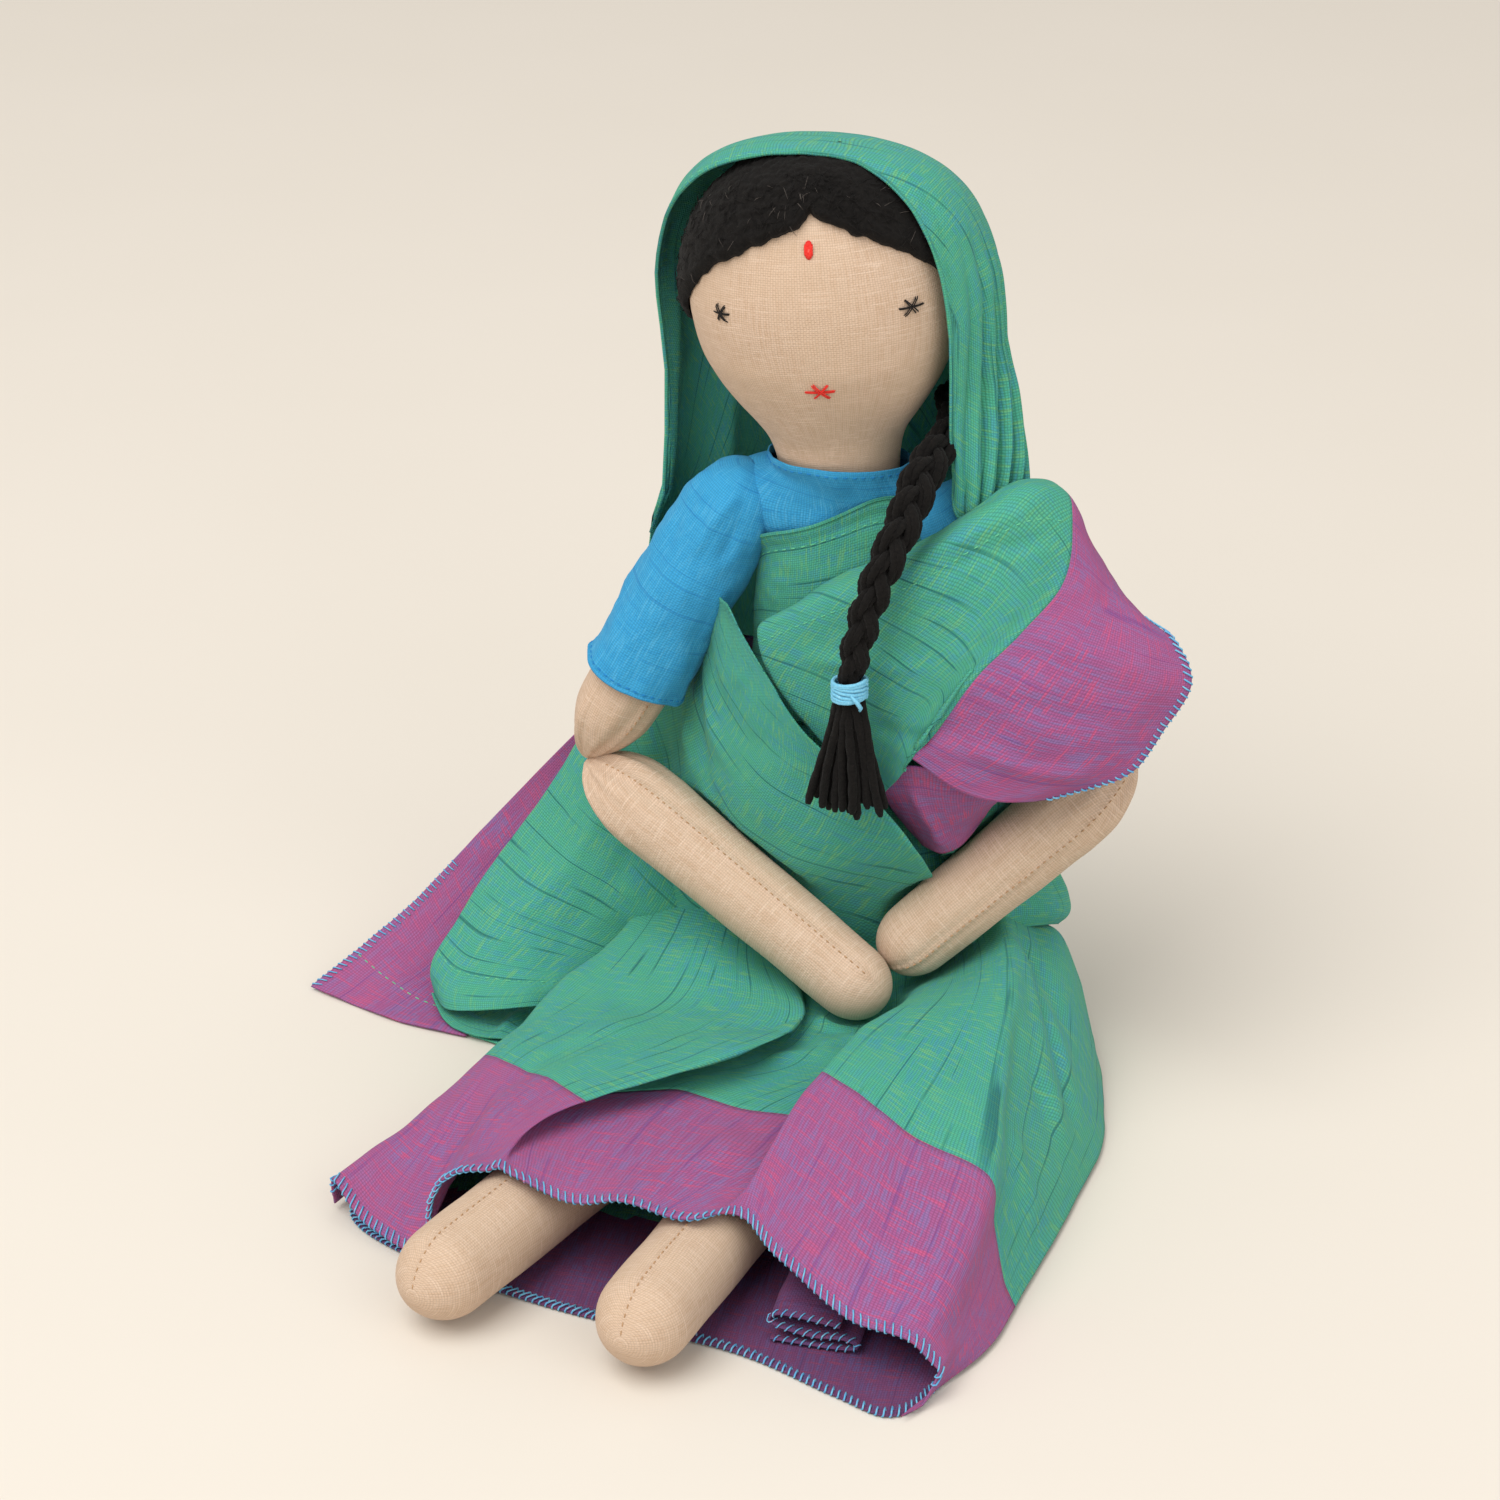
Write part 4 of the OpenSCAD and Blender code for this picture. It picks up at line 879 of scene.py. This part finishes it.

# Pleats folded inside the hem, beside the left foot, in purple darkened as painted shade
foldShape = [(19, 2.3), (28, 2.5), (38, 2.8), (43, 4.8), (39, 7.2), (30, 7.0), (22, 8.2), (19, 10.6), (22, 13),
    (30, 12.6), (38, 11.4)]
pleatRows = [[(x + lean, y + 0.35 * x * (y > -150), z * tall) for x, z in foldShape] for y, lean,
    tall in ((-158, 0, 0.8), (-146, 1, 1), (-128, 2, 1))]
pleatEnds = wrinkle(gridThrough(pleatRows, 10, 7), 0.35, 8, 28)
pleatEnds[..., 2] = np.maximum(pleatEnds[..., 2], 2.1)
pleatCloth = clothPiece("sariPleatEnds", pleatEnds, paintedShadePurple, turned=True)
pleatNormals = gridNormals(pleatEnds)
pleatHem = seamPiece("pleatOverlock", "torso", "purple_border_cotton",
    [overlockPath(pleatEnds[0], pleatEnds[1] - pleatEnds[0], pleatNormals[0], 2.2, 2.4)], 0.2, hemThread, 5)
sheetPiece(pleatCloth, pleatEnds, "torso", "purple_border_cotton", "folded", ["sariUnderlay"], along=[pleatHem])

# Behind, the skirt spreads from the hips to the floor
backRows = [
    [(42, 0, 50), (36, 12, 50), (24, 19, 50), (0, 21.5, 50), (-24, 19, 50), (-36, 12, 50), (-44, 2, 50)],
    [(56, 7, 33), (46, 21, 33), (30, 30, 33), (0, 33.5, 33), (-30, 30, 33), (-45, 20, 33), (-55, 10, 34)],
    [(64, 14, 17), (55, 29, 17), (32, 38.5, 18), (0, 41.5, 18), (-31, 38.5, 18), (-49, 27, 17), (-60, 16, 16)],
    [(70, 20, 1.7), (61, 37, 1.7), (36, 46, 1.7), (0, 49, 1.7), (-32, 46, 1.7), (-53, 34, 1.7), (-63, 18, 1.7)]]
backSkirt = gridThrough(backRows, 14, 18)
runs = np.arange(backSkirt.shape[1])[None] * 1.0
rise = np.linspace(0.1, 1, len(backSkirt))[:, None]
backSkirt = backSkirt + gridNormals(backSkirt) * (rise * ((np.abs(np.sin(runs * 0.21 + 0.2
    * np.sin(rise * 4))) ** 0.7 * 2 - 1.2) * 2.2 + 0.8 * np.sin(runs * 0.23 + 1)))[..., None]
backSkirt = wrinkle(backSkirt, 0.6, 14, 12)
backSkirt[..., 2] = np.maximum(backSkirt[..., 2], 1.7)
sheetPiece(clothPiece("sariBackSkirt", backSkirt, sariGreen), backSkirt, "torso", "green_sari_cotton", "gathered",
    ["torsoSkin"], "sari_back_skirt")

# Waist wrap: the cloth goes round the body, and its outer layer crosses the chest on a slant
rightArm = (doll["rightElbow"], doll["rightHand"], 13.6)
leftArm = (doll["leftElbow"], doll["leftHand"], 13.4)
angles = np.arange(140) * 2 * math.pi / 140
wrapRows = np.stack([torsoPoint(np.full(140, z), 3.1, angles) for z in np.linspace(114, 29, 70)])
drape = 0.55 * np.sin(angles * 3 + np.linspace(0, 5, 70)[:, None]) + 0.4 * np.sin(angles * 7
    - np.linspace(0, 7, 70)[:, None])
wrapRows = wrapRows + gridNormals(wrapRows, True) * drape[..., None]
wrapRows = wrinkle(wrapRows, 0.5, (10, 10, 18), 14, ring=True)
for a, b, r in (rightArm, leftArm):
    wrapRows = keepOff(wrapRows, a, b, r)
wrapCloth = clothPiece("sariWaistWrap", wrapRows, sariGreen, ring=True, turned=True)
sheetPiece(wrapCloth, np.concatenate([wrapRows, wrapRows[:, :1]], 1), "torso", "green_sari_cotton", "gathered",
    ["torsoSkin"], "sari_waist_wrap")

# Outer layer: from under the right arm, slanting down to the left hip. Columns run from the body's back to the slanted edge
frontRows = [
    [(-36, 22, 150), (-41, 8, 149), (-40, -2, 149), (-37, -10, 149), (-34, -15, 149), (-31, -18.5, 149)],
    [(-46, 20, 132), (-44, 8, 130), (-41, -4, 129), (-35, -15, 129), (-25, -23, 130), (-15, -28, 130)],
    [(-60, 18, 112), (-51, 8, 109), (-43, -6, 106), (-34, -17, 107), (-20, -26, 111), (-3, -33, 117.5)],
    [(-72, 17, 96), (-58, 8, 90), (-46, -6, 86), (-36, -16, 88), (-18, -27, 93), (16, -37, 104)],
    [(-78, 15, 80), (-63, 5, 72), (-51, -6, 66), (-39, -14, 66), (-14, -25, 72), (29, -35, 87)],
    [(-78, 12, 60), (-66, 4, 54), (-54, -6, 50), (-41, -12, 49), (-14, -20, 54), (33, -21, 68)],
    [(-70, 12, 40), (-64, 5, 36), (-56, -3, 36), (-42, -11, 37), (-14, -16, 37), (36, -12, 42)]]
frontWrap = gridThrough(frontRows, 12, 14)
frontFolds = [([(-38, -6, 146), (-24, -20, 128), (-4, -24, 106), (20, -25, 88)], 2.6, 1.7),
    ([(-40, -4, 140), (-30, -17, 118), (-12, -22, 98), (10, -23, 78)], 3.0, -1.4),
    ([(-41, 0, 134), (-36, -14, 108), (-20, -21, 88), (0, -22, 68)], 3.2, 1.6),
    ([(-42, 2, 126), (-40, -10, 98), (-30, -17, 76)], 3.0, -1.2),
    ([(-34, -10, 148), (-18, -20, 134), (-4, -24, 119)], 2.0, -0.9),
    ([(-30, -14, 150), (-20, -19, 138), (-10, -22, 126)], 1.4, 1.0),
    ([(-44, 4, 110), (-46, -4, 84), (-44, -8, 60)], 3.5, 1.5),
    ([(6, -24, 104), (22, -25, 88), (34, -22, 74)], 2.4, 1.0)]
for line, width, height in frontFolds:
    frontWrap = crease(frontWrap, line, width, height)
frontWrap = crease(frontWrap, [(-66, 14, 100), (-56, 4, 84), (-46, -8, 60)], 4.0, -1.5)
frontWrap = crease(frontWrap, [(-54, 14, 120), (-48, 2, 104), (-42, -10, 84)], 3.0, 1.5)
frontWrap = wrinkle(frontWrap, 0.7, (12, 12, 16), 15)
for a, b, r in (rightArm, leftArm):
    frontWrap = keepOff(frontWrap, a, b, r)
frontCloth = clothPiece("sariFrontWrap", frontWrap, sariGreen, uv=leaning(threadsOf(frontWrap), 50))
sheetPiece(frontCloth, frontWrap, "torso", "green_sari_cotton", "draped", ["sariWaistWrap"])

# Chest band: under the end piece, from the right armpit to the left shoulder, with a stitched top hem
bandTop = [(204, 161), (220, 166), (250, 172), (270, 176.5), (300, 182), (334, 181)]
angles = np.linspace(204, 334, 110)
topLine = smoothTable(bandTop, angles, 1)
band = []
for s in np.linspace(0, 1, 56):
    z = topLine * (1 - s) + 112 * s
    band.append(torsoPoint(z, 3.4 + 0.7 * (s < 0.04), np.radians(angles))
        + shoulderPuff(z, np.radians(angles)) * [1, 1, 0])
band = np.stack(band)
for line, width, height in (([(-30, -6, 150), (-10, -16, 156), (14, -14, 166)], 1.6, 1.0),
        ([(-28, -8, 144), (-8, -17, 150), (14, -16, 160)], 1.4, -0.9),
        ([(-30, -4, 138), (-12, -16, 142), (8, -18, 150)], 1.8, 1.1)):
    band = crease(band, line, width, height)
band = wrinkle(band, 0.45, (10, 10, 8), 16)
bandCloth = clothPiece("sariChestBand", band, sariGreen, turned=True)
bandHem = seamPiece("bandHem", "torso", "green_sari_cotton",
    stitchPaths(band[5], gridNormals(band)[5], 1.9, 1.3, 0.12), 0.18, greenThread, 5)
bandRoll = tubes("bandRoll", [band[0]], 0.55, 8, taper=0.8)
bandRoll.data.materials.append(sariGreen)
finishPiece(bandRoll, "torso", "green_sari_cotton")
sheetPiece(bandCloth, band, "torso", "green_sari_cotton", "draped", ["blouseBody"], "sari_chest_band",
    along=[bandHem, bandRoll])

# End piece over the chest and left arm: rows run down across it, columns from the chest out to the border
endRows = [
    [(-15, -20, 149), (4, -20, 164), (23, -19, 174), (38, -16, 184), (49, -7, 191), (60, 2, 187), (66, 5, 173),
    (72, 7, 160), (79, 7, 149)],
    [(-20, -24, 145), (4, -30, 161), (25, -31.5, 172), (40, -26, 183), (54, -15, 189.5), (65, -6, 184.5),
    (72, -5, 172), (79, -3, 160), (86, -2, 151)],
    [(-16, -25, 131), (8, -33, 146), (28, -35, 156), (44, -31, 163), (55, -25, 168), (66, -17, 168), (77, -14, 161),
    (87, -12, 155), (96, -9, 149)],
    [(-4, -28, 118), (11, -34, 130), (26, -37, 140), (38, -36, 147), (47, -33, 152), (56, -29, 155), (74, -26, 149),
    (90, -21, 143), (102, -14, 139)],
    [(6, -30, 109), (14, -34, 120), (25, -37.5, 130), (34, -37.5, 136), (40, -37, 140), (45, -36, 143),
    (66, -33, 134), (83, -27, 129), (96, -18, 126)],
    [(13, -31, 102), (18, -34.5, 110), (24, -38, 117), (29, -38.5, 121), (32, -38.5, 124), (35, -38, 126),
    (56, -36, 119), (73, -31, 115), (87, -24, 113)],
    [(17, -31, 98), (20, -34.5, 104), (24, -38, 110), (26, -38.5, 113), (27, -38.5, 116), (28, -38.5, 118),
    (42, -38, 109), (54, -36, 106), (66, -31, 106)]]
endPiece = gridThrough(endRows, 13, 13)
endFolds = [([(-14, -30, 140), (10, -34, 142), (36, -36, 146)], 2.2, 1.2),
    ([(0, -32, 152), (22, -34, 150), (50, -30, 152)], 2.0, -0.8),
    ([(4, -32, 160), (30, -33, 166), (60, -18, 174)], 1.6, 0.8),
    ([(14, -35, 124), (30, -37, 124), (44, -36, 130)], 2.6, -1.1),
    ([(56, -28, 156), (76, -24, 148), (98, -14, 138)], 3.0, 1.1),
    ([(40, -38, 124), (62, -36, 116), (80, -28, 114)], 2.6, 1.2),
    ([(48, -34, 140), (70, -30, 132), (92, -20, 128)], 3.0, -0.9),
    ([(26, -31, 174), (44, -26, 184), (60, -10, 188)], 1.6, 1.3),
    ([(28, -32, 170), (46, -28, 178), (66, -12, 180)], 1.8, -1.2)]
for line, width, height in endFolds:
    endPiece = crease(endPiece, line, width, height)
endPiece = wrinkle(endPiece, 0.6, (14, 14, 12), 17)
threads = threadsOf(endPiece, turned=True)
borderColumn = 5 * 13
swing = {"start": (0.040, -0.018, 0.160), "end": (0.072, -0.018, 0.150)}
endGreen = clothPiece("sariEndPiece", endPiece[:, :borderColumn + 1], sariGreen,
    uv=leaning(threadsOf(endPiece), 42)[:, :borderColumn + 1])
endPurple = clothPiece("sariEndBorder", endPiece[:, borderColumn:], sariPurple, uv=threads[:, borderColumn:])
nrm = gridNormals(endPiece)
edge = endPiece[8:, -1]
endHem = tubes("endOverlock", [overlockPath(edge, endPiece[8:, -2] - edge, nrm[8:, -1], 2.4)], 0.26, 5)
endHem.data.materials.append(hemThread)
endStitch = tubes("endHemStitch", stitchPaths(endPiece[17, :borderColumn], nrm[17, :borderColumn], 1.9,
    1.4, 0.1), 0.17, 5)
endStitch.data.materials.append(greenThread)
for piece, slotName, nodes in ((endGreen, "green_sari_cotton", ["sari_pallu"]),
        (endPurple, "purple_border_cotton", ["sari_pallu_border"]),
        (endHem, "purple_border_cotton", []), (endStitch, "green_sari_cotton", [])):
    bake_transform(piece)
    if nodes:
        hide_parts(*nodes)

# The border's inner corner, tucked behind the slanted edge
tuckRows = [[(16, -33, 108), (27, -36, 114), (42, -35, 112), (58, -31, 110)],
    [(18, -29, 100), (28, -32, 103), (40, -31, 103), (54, -27, 104)],
    [(22, -24, 90), (31, -27, 90), (40, -25, 92), (48, -19, 95)],
    [(28, -19, 80), (34, -21, 79), (40, -19, 82), (44, -13, 86)]]
tuck = gridThrough(tuckRows, 10, 12)
tuck = crease(tuck, [(26, -34, 108), (32, -28, 92), (36, -21, 80)], 2.2, 1.3)
tuck = keepOff(wrinkle(tuck, 0.5, 9, 19), *leftArm)
tuckCloth = clothPiece("sariBorderTuck", tuck, sariPurple, turned=True)
sheetPiece(tuckCloth, tuck, "torso", "purple_border_cotton", "folded", ["sariWaistWrap"])
# Cloth of the left side, between the end piece and the hip
sideRows = [
    [(34, -22, 118), (48, -10, 116), (56, 3, 112), (58, 15, 108), (47, 23, 107), (28, 21, 106)],
    [(36, -22, 94), (49, -3, 90), (57, 9, 86), (57, 19, 82), (46, 26, 81), (28, 23, 80)],
    [(38, -16, 72), (50, 0, 67), (58, 12, 64), (59, 23, 60), (48, 29, 58), (28, 24, 57)],
    [(40, -12, 54), (54, 2, 52), (64, 13, 47), (64, 25, 42), (51, 31, 40), (30, 26, 39)],
    [(42, -10, 43), (54, 2, 44), (61, 12, 41), (61, 24, 35), (50, 30, 33), (31, 26, 32)]]
sideFold = gridThrough(sideRows, 14, 16)
for line, width, height in (([(44, -10, 110), (50, 0, 84), (56, 6, 56)], 3, 1.6),
        ([(52, -2, 110), (56, 8, 80), (64, 14, 48)], 3, -1.5), ([(58, 8, 104), (59, 16, 76), (66, 20, 44)], 3, 1.3),
        ([(50, 23, 104), (50, 26, 76), (54, 30, 44)], 3, 1.4),
        ([(38, 23, 104), (38, 26, 76), (40, 29, 44)], 2.5, -1.3)):
    sideFold = crease(sideFold, line, width, height)
sideFold = keepOff(wrinkle(sideFold, 0.6, 12, 20), *leftArm)
sheetPiece(clothPiece("sariSideFold", sideFold, sariGreen), sideFold, "torso", "green_sari_cotton", "draped",
    ["sariWaistWrap"])
print("wrap and end piece done")


# Veil: a hood over the hair that runs down the back and gathers into pleats on the left shoulder
veil = {"at": (-9, 9), "top": 281.6, "rx": 48.4, "ry": 37.4, "pleats": 8}
veilRows = [(0, 0.04, 0.04), (1.5, 0.36, 0.38), (6, 0.62, 0.66), (14, 0.82, 0.86), (26, 0.94, 0.97), (45, 1, 1),
    (80, 1.0, 0.98), (110, 1.04, 0.94), (140, 1.2, 0.98), (240, 1.3, 1.05)]
veilEdge = [(0, 183), (12, 183), (22, 184), (34, 174), (50, 118), (70, 94), (110, 84), (135, 96), (150, 106),
    (160, 116), (166, 132), (172, 168),
    (177, 214), (183, 240), (190, 256), (200, 267), (215, 275), (232, 278.5), (252, 279.6), (270, 279.8),
    (290, 279.5), (305, 278), (314, 273), (320, 262),
    (324, 246), (326, 226), (327, 204), (329, 185), (336, 180), (346, 182), (360, 183)]
angles = np.concatenate([np.arange(0, 40, 0.75), np.arange(40, 300, 2), np.arange(300, 360, 0.75)])
turn = np.radians(angles)
low = smoothTable(veilEdge, angles, 1)
levels = np.linspace(0, 1, 110) ** 1.6
drop = (veil["top"] - low)[None] * levels[:, None]
z = veil["top"] - drop
left = np.clip(1 - np.abs((angles + 180) % 360 - 180 - 2) / 34, 0, 1) ** 0.7
flare = np.clip((226 - z) / 42, 0, 1) ** 1.4 * left[None]
wide = smoothTable(veilRows, drop, 1) * (1 + 0.30 * flare)
deep = smoothTable(veilRows, drop, 2) * (1 + 0.10 * flare)
veilGrid = np.stack([veil["at"][0] + veil["rx"] * wide * np.cos(turn),
    veil["at"][1] + veil["ry"] * deep * np.sin(turn), z], -1)
tilt = np.clip((z - 236) / 25, 0, 1) * np.maximum(veilGrid[..., 1] + 5, 0) * 0.12
veilGrid[..., 2] -= tilt
gather = np.clip((262 - z) / 40, 0, 1) * left[None]
offLeft = (angles + 180) % 360 - 180
phase = (offLeft + 34) / 70 * math.pi * veil["pleats"]
pleat = (np.abs(np.sin(phase + 0.35 * np.sin(z / 14))) ** 0.8 * 2 - 1.1) * (3.1 + 0.9
    * np.clip((230 - z) / 30, 0, 1)) * gather
# towards the shoulder the pleats are drawn together along one line
share = np.clip((offLeft + 34) / 70, 0, 1)
pin = np.stack(np.broadcast_arrays(29.5 + 28 * share, -25 + 31 * share, z), -1)
drawn = (np.clip((216 - z) / 32, 0, 1) ** 1.2 * left[None] ** 0.5 * 0.8)[..., None]
away = np.clip((np.minimum(angles, 360 - angles) - 40) / 30, 0, 1)
backFold = 1.1 * np.sin(turn * 9 + z / 60) * np.clip(drop / 60, 0, 1) * away
loose = np.clip((angles - 38) / 25, 0, 1) * np.clip((176 - angles) / 18, 0, 1) * np.clip((drop - 30) / 90, 0, 1)
backFold = backFold + (np.abs(np.sin(turn * 5.4 + 0.5 * np.sin(z / 38) + 0.3)) ** 0.75 * 2 - 0.9) * 3.0 * loose
veilGrid = veilGrid * (1 - drawn) + pin * drawn
veilGrid = veilGrid + gridNormals(veilGrid, True) * (pleat + backFold)[..., None]
veilGrid = wrinkle(veilGrid, 0.7, (14, 14, 26), 21, ring=True, keep=np.clip(drop / 12, 0, 1))
veilFolds = [([(28, -16, 268), (36, -16, 250), (40, -10, 232)], 2.4, 1.4),
    ([(18, -22, 274), (32, -20, 258), (38, -14, 240)], 1.8, -0.9),
    ([(8, -14, 283), (28, -6, 274), (39, 2, 254), (42, 4, 236)], 2.6, 1.2),
    ([(-58, -2, 244), (-62, 2, 210), (-68, 8, 172)], 3.0, -1.3),
    ([(-54, -10, 240), (-58, -6, 214), (-62, 0, 190)], 2.2, 1.3),
    ([(-50, 16, 262), (-62, 16, 226), (-70, 20, 180)], 4.0, 1.0)]
for line, width, height in veilFolds:
    veilGrid = crease(veilGrid, line, width, height, ring=True)
# threads run over the head from side to side, then straight down
arc = np.arccos(np.clip((z - 236) / 45.6, 0, 1))
fall = np.maximum(236 - z, 0)
round = np.clip((turn - 0.3) / (math.pi - 0.6), 0, 1) * math.pi
sideways, behind = np.cos(round)[None], np.sin(round)[None]
uvVeil = np.stack([38 * arc * np.sin(turn)[None] + fall * behind,
    48 * arc * np.cos(turn)[None] + fall * sideways], -1)
uvVeil = np.concatenate([uvVeil, uvVeil[:, :1]], 1)
crown = veilGrid[0].mean(0)
veilGrid[0] = crown + (veilGrid[0] - crown) * 0.02
veilCloth = clothPiece("sariVeil", veilGrid, sariGreen, ring=True, uv=uvVeil)
rim = veilGrid[-1]
nrm = gridNormals(veilGrid, True)
frontRim = [k for k in range(len(angles)) if 168 < angles[k] < 336]
rollLine = rim[frontRim] - nrm[-1][frontRim] * 0.3
veilRoll = tubes("veilRoll", [rollLine], 0.6, 8, taper=0.8)
veilRoll.data.materials.append(sariGreen)
finishPiece(veilRoll, "torso", "green_sari_cotton")
hemRow = int(np.argmin(np.abs(levels - 0.90)))
hemPick = [k for k in range(len(angles)) if 168 < angles[k] < 232]
veilStitch = seamPiece("veilHemStitch", "torso", "green_sari_cotton",
    stitchPaths(veilGrid[hemRow][hemPick], nrm[hemRow][hemPick], 1.9, 1.4, 0.1), 0.17, greenThread, 5)
finishPiece(veilCloth, "torso", "green_sari_cotton", "sari_veil", "sari_shoulder_pleats")
print("veil done")


# Loose cloth at the right hip, its lower end rolled open on the floor, and the border end that trails out behind it
foldRows = [
    [(-84, 16, 88), (-76, 8, 83), (-66, 4, 80), (-56, 0, 78), (-46, -3, 76), (-38, -6, 75)],
    [(-96, 10, 66), (-86, 2, 62), (-76, -3, 58), (-66, -6, 54), (-56, -8, 47), (-48, -8, 40)],
    [(-112, 4, 42), (-100, -5, 40), (-88, -9, 38), (-77, -9, 34), (-67, -7, 29), (-61, -4, 25)],
    [(-122, -6, 24), (-112, -14, 23), (-100, -17, 23), (-89, -17, 22), (-79, -15, 20), (-72, -11, 17)],
    [(-127, -14, 13), (-119, -22, 12), (-108, -25, 13), (-97, -26, 15), (-87, -23, 16), (-80, -19, 15)],
    [(-125, -18, 6), (-118, -26, 6), (-108, -29.5, 9), (-98, -30, 11.5), (-89, -27, 12), (-83, -22, 10)]]
hipFold = gridThrough(foldRows, 12, 14)
for line, width, height in (([(-70, 2, 76), (-84, -6, 52), (-104, -14, 26)], 4, 1.4),
        ([(-58, -2, 74), (-70, -10, 48), (-88, -18, 24)], 4, -1.2),
        ([(-48, -6, 72), (-56, -13, 50), (-72, -20, 30)], 3.5, 1.3),
        ([(-80, 6, 80), (-96, 0, 56), (-116, -8, 30)], 3, -0.8),
        ([(-118, -22, 8), (-104, -25, 10), (-90, -24, 12)], 2, 1.2)):
    hipFold = crease(hipFold, line, width, height)
hipFold = wrinkle(hipFold, 0.6, (12, 12, 14), 23)
hipFold = keepOff(hipFold, *rightArm)
hipFold[..., 2] = np.maximum(hipFold[..., 2], 2.4)
hipCloth = clothPiece("sariHipFold", hipFold, sariGreen, turned=True)
nrm = gridNormals(hipFold)
hipStitch = seamPiece("hipHemStitch", "torso", "green_sari_cotton", stitchPaths(hipFold[43], nrm[43], 2.0, 1.5, 0.1),
    0.18, greenThread, 5)
sheetPiece(hipCloth, hipFold, "torso", "green_sari_cotton", "folded", ["sariSkirt"], "sari_hip_fold",
    along=[hipStitch])

underRows = [[(-112, -2, 3), (-104, -6, 3), (-96, -8, 2.8), (-88, -8, 2.6), (-80, -7, 2.6)],
    [(-120, -12, 3.4), (-110, -20, 2.8), (-100, -22, 2.6), (-90, -20, 2.6), (-80, -18, 2.6)],
    [(-125.5, -18, 6), (-118, -28, 3.4), (-107, -33, 2.6), (-96, -33, 3.2), (-85, -27, 2.6)]]
hipUnder = gridThrough(underRows, 12, 14)
hipUnder = crease(hipUnder, [(-100, -34, 2.6), (-98, -24, 2.6), (-96, -12, 2.6)], 2.0, 2.2, fade=0.4)
hipUnder = wrinkle(hipUnder, 0.4, 9, 24)
hipUnder[..., 2] = np.maximum(hipUnder[..., 2], 2.3)
sheetPiece(clothPiece("sariHipUnder", hipUnder, sariGreen, turned=True), hipUnder, "torso", "green_sari_cotton",
    "laid", ["floor"])

trainRows = [
    [(-44, 15, 124), (-38, 19, 122), (-30, 22, 119), (-22, 23, 114)],
    [(-68, 27, 104), (-60, 29, 101), (-53, 31, 97), (-44, 31, 90)],
    [(-92, 25, 78), (-84, 25, 71), (-76, 26, 64), (-66, 28, 58)],
    [(-116, 21, 50), (-108, 16, 41), (-100, 13, 33), (-88, 14, 26)],
    [(-142, 9, 20), (-132, 1, 12), (-122, -4, 6), (-106, -6, 4)],
    [(-166, -17, 1.2), (-150, -23, 1.2), (-132, -29, 1.2), (-110, -32, 1.2)]]
train = gridThrough(trainRows, 16, 16)
for line, width, height in (([(-72, 26, 92), (-100, 18, 50), (-134, -4, 12)], 4, 1.3),
        ([(-66, 29, 84), (-92, 20, 44), (-116, -2, 10)], 4, -1.2)):
    train = crease(train, line, width, height)
train = wrinkle(train, 0.6, 16, 25)
train[..., 2] = np.maximum(train[..., 2], 0.75)
trainCloth = clothPiece("sariTrain", train, sariPurple)
nrm = gridNormals(train)
trainEdge = train[56:, 0]
trainHem = seamPiece("trainOverlock", "torso", "purple_border_cotton",
    [overlockPath(trainEdge, train[56:, 1] - trainEdge, nrm[56:, 0], 2.6)], 0.22, hemThread, 5)
trainStitch = seamPiece("trainHemStitch", "torso", "purple_border_cotton",
    stitchPaths(train[72], nrm[72], 1.9, 1.4, 0.1), 0.18, greenThread, 5)
sheetPiece(trainCloth, train, "torso", "purple_border_cotton", "draped", ["sariHipFold"], "sari_train_border",
    along=[trainHem, trainStitch])

trailRows = [[(-112, -4, 6), (-100, -6, 6), (-86, -8, 5)], [(-110, -18, 2.0), (-97, -22, 2.0), (-84, -24, 2.2)],
    [(-109, -31, 1.3), (-98, -34, 1.3), (-90, -36, 1.4)]]
trail = wrinkle(gridThrough(trailRows, 10, 12), 0.35, 9, 27)
trail[..., 2] = np.maximum(trail[..., 2], 0.75)
sheetPiece(clothPiece("sariTrail", trail, sariGreen, turned=True), trail, "torso", "green_sari_cotton",
    "laid", ["floor"])
print("hip and train done")


# Floor and lights
bpy.ops.object.select_all(action="DESELECT")
bpy.ops.mesh.primitive_plane_add(size=30, location=(0, 0, 0))
floor = bpy.context.object
floor.name = "floor"
paper = bpy.data.materials.new("matt cream paper")
paper.use_nodes = True
grain = addNode(paper.node_tree, "ShaderNodeTexNoise", {}, {"Vector": addNode(paper.node_tree, "ShaderNodeTexCoord",
    {}, {}).outputs["Object"], "Scale": 6.0, "Detail": 2.0})
tint = blendColour(paper.node_tree, grain.outputs[0], toLinear("#dcd5ca"), toLinear("#dfd8ce"))
paper.node_tree.links.new(tint, paper.node_tree.nodes["Principled BSDF"].inputs["Base Color"])
paper.node_tree.nodes["Principled BSDF"].inputs["Roughness"].default_value = 0.95
paper.node_tree.nodes["Principled BSDF"].inputs["Specular IOR Level"].default_value = 0.1
floor.data.materials.append(paper)


def softLight(name, place, size, power, colour):
    lamp = bpy.data.lights.new(name, "AREA")
    lamp.size, lamp.energy, lamp.color = size, power, colour
    thing = bpy.data.objects.new(name, lamp)
    thing.location = place
    thing.rotation_euler = (Vector(place) - Vector((0, -0.04, 0.1))).to_track_quat("Z", "Y").to_euler()
    bpy.context.collection.objects.link(thing)


softLight("keyLight", (-0.75, -1.5, 2.8), 2.4, 82, (1.0, 0.985, 0.965))
softLight("fillLight", (1.9, -1.5, 1.5), 2.0, 17, (0.98, 0.99, 1.0))
world = bpy.data.worlds.new("studio")
bpy.context.scene.world = world
world.use_nodes = True
world.node_tree.nodes["Background"].inputs[0].default_value = toLinear("#f7f4f0")
world.node_tree.nodes["Background"].inputs[1].default_value = 0.68
bpy.context.scene.view_settings.view_transform = "Standard"
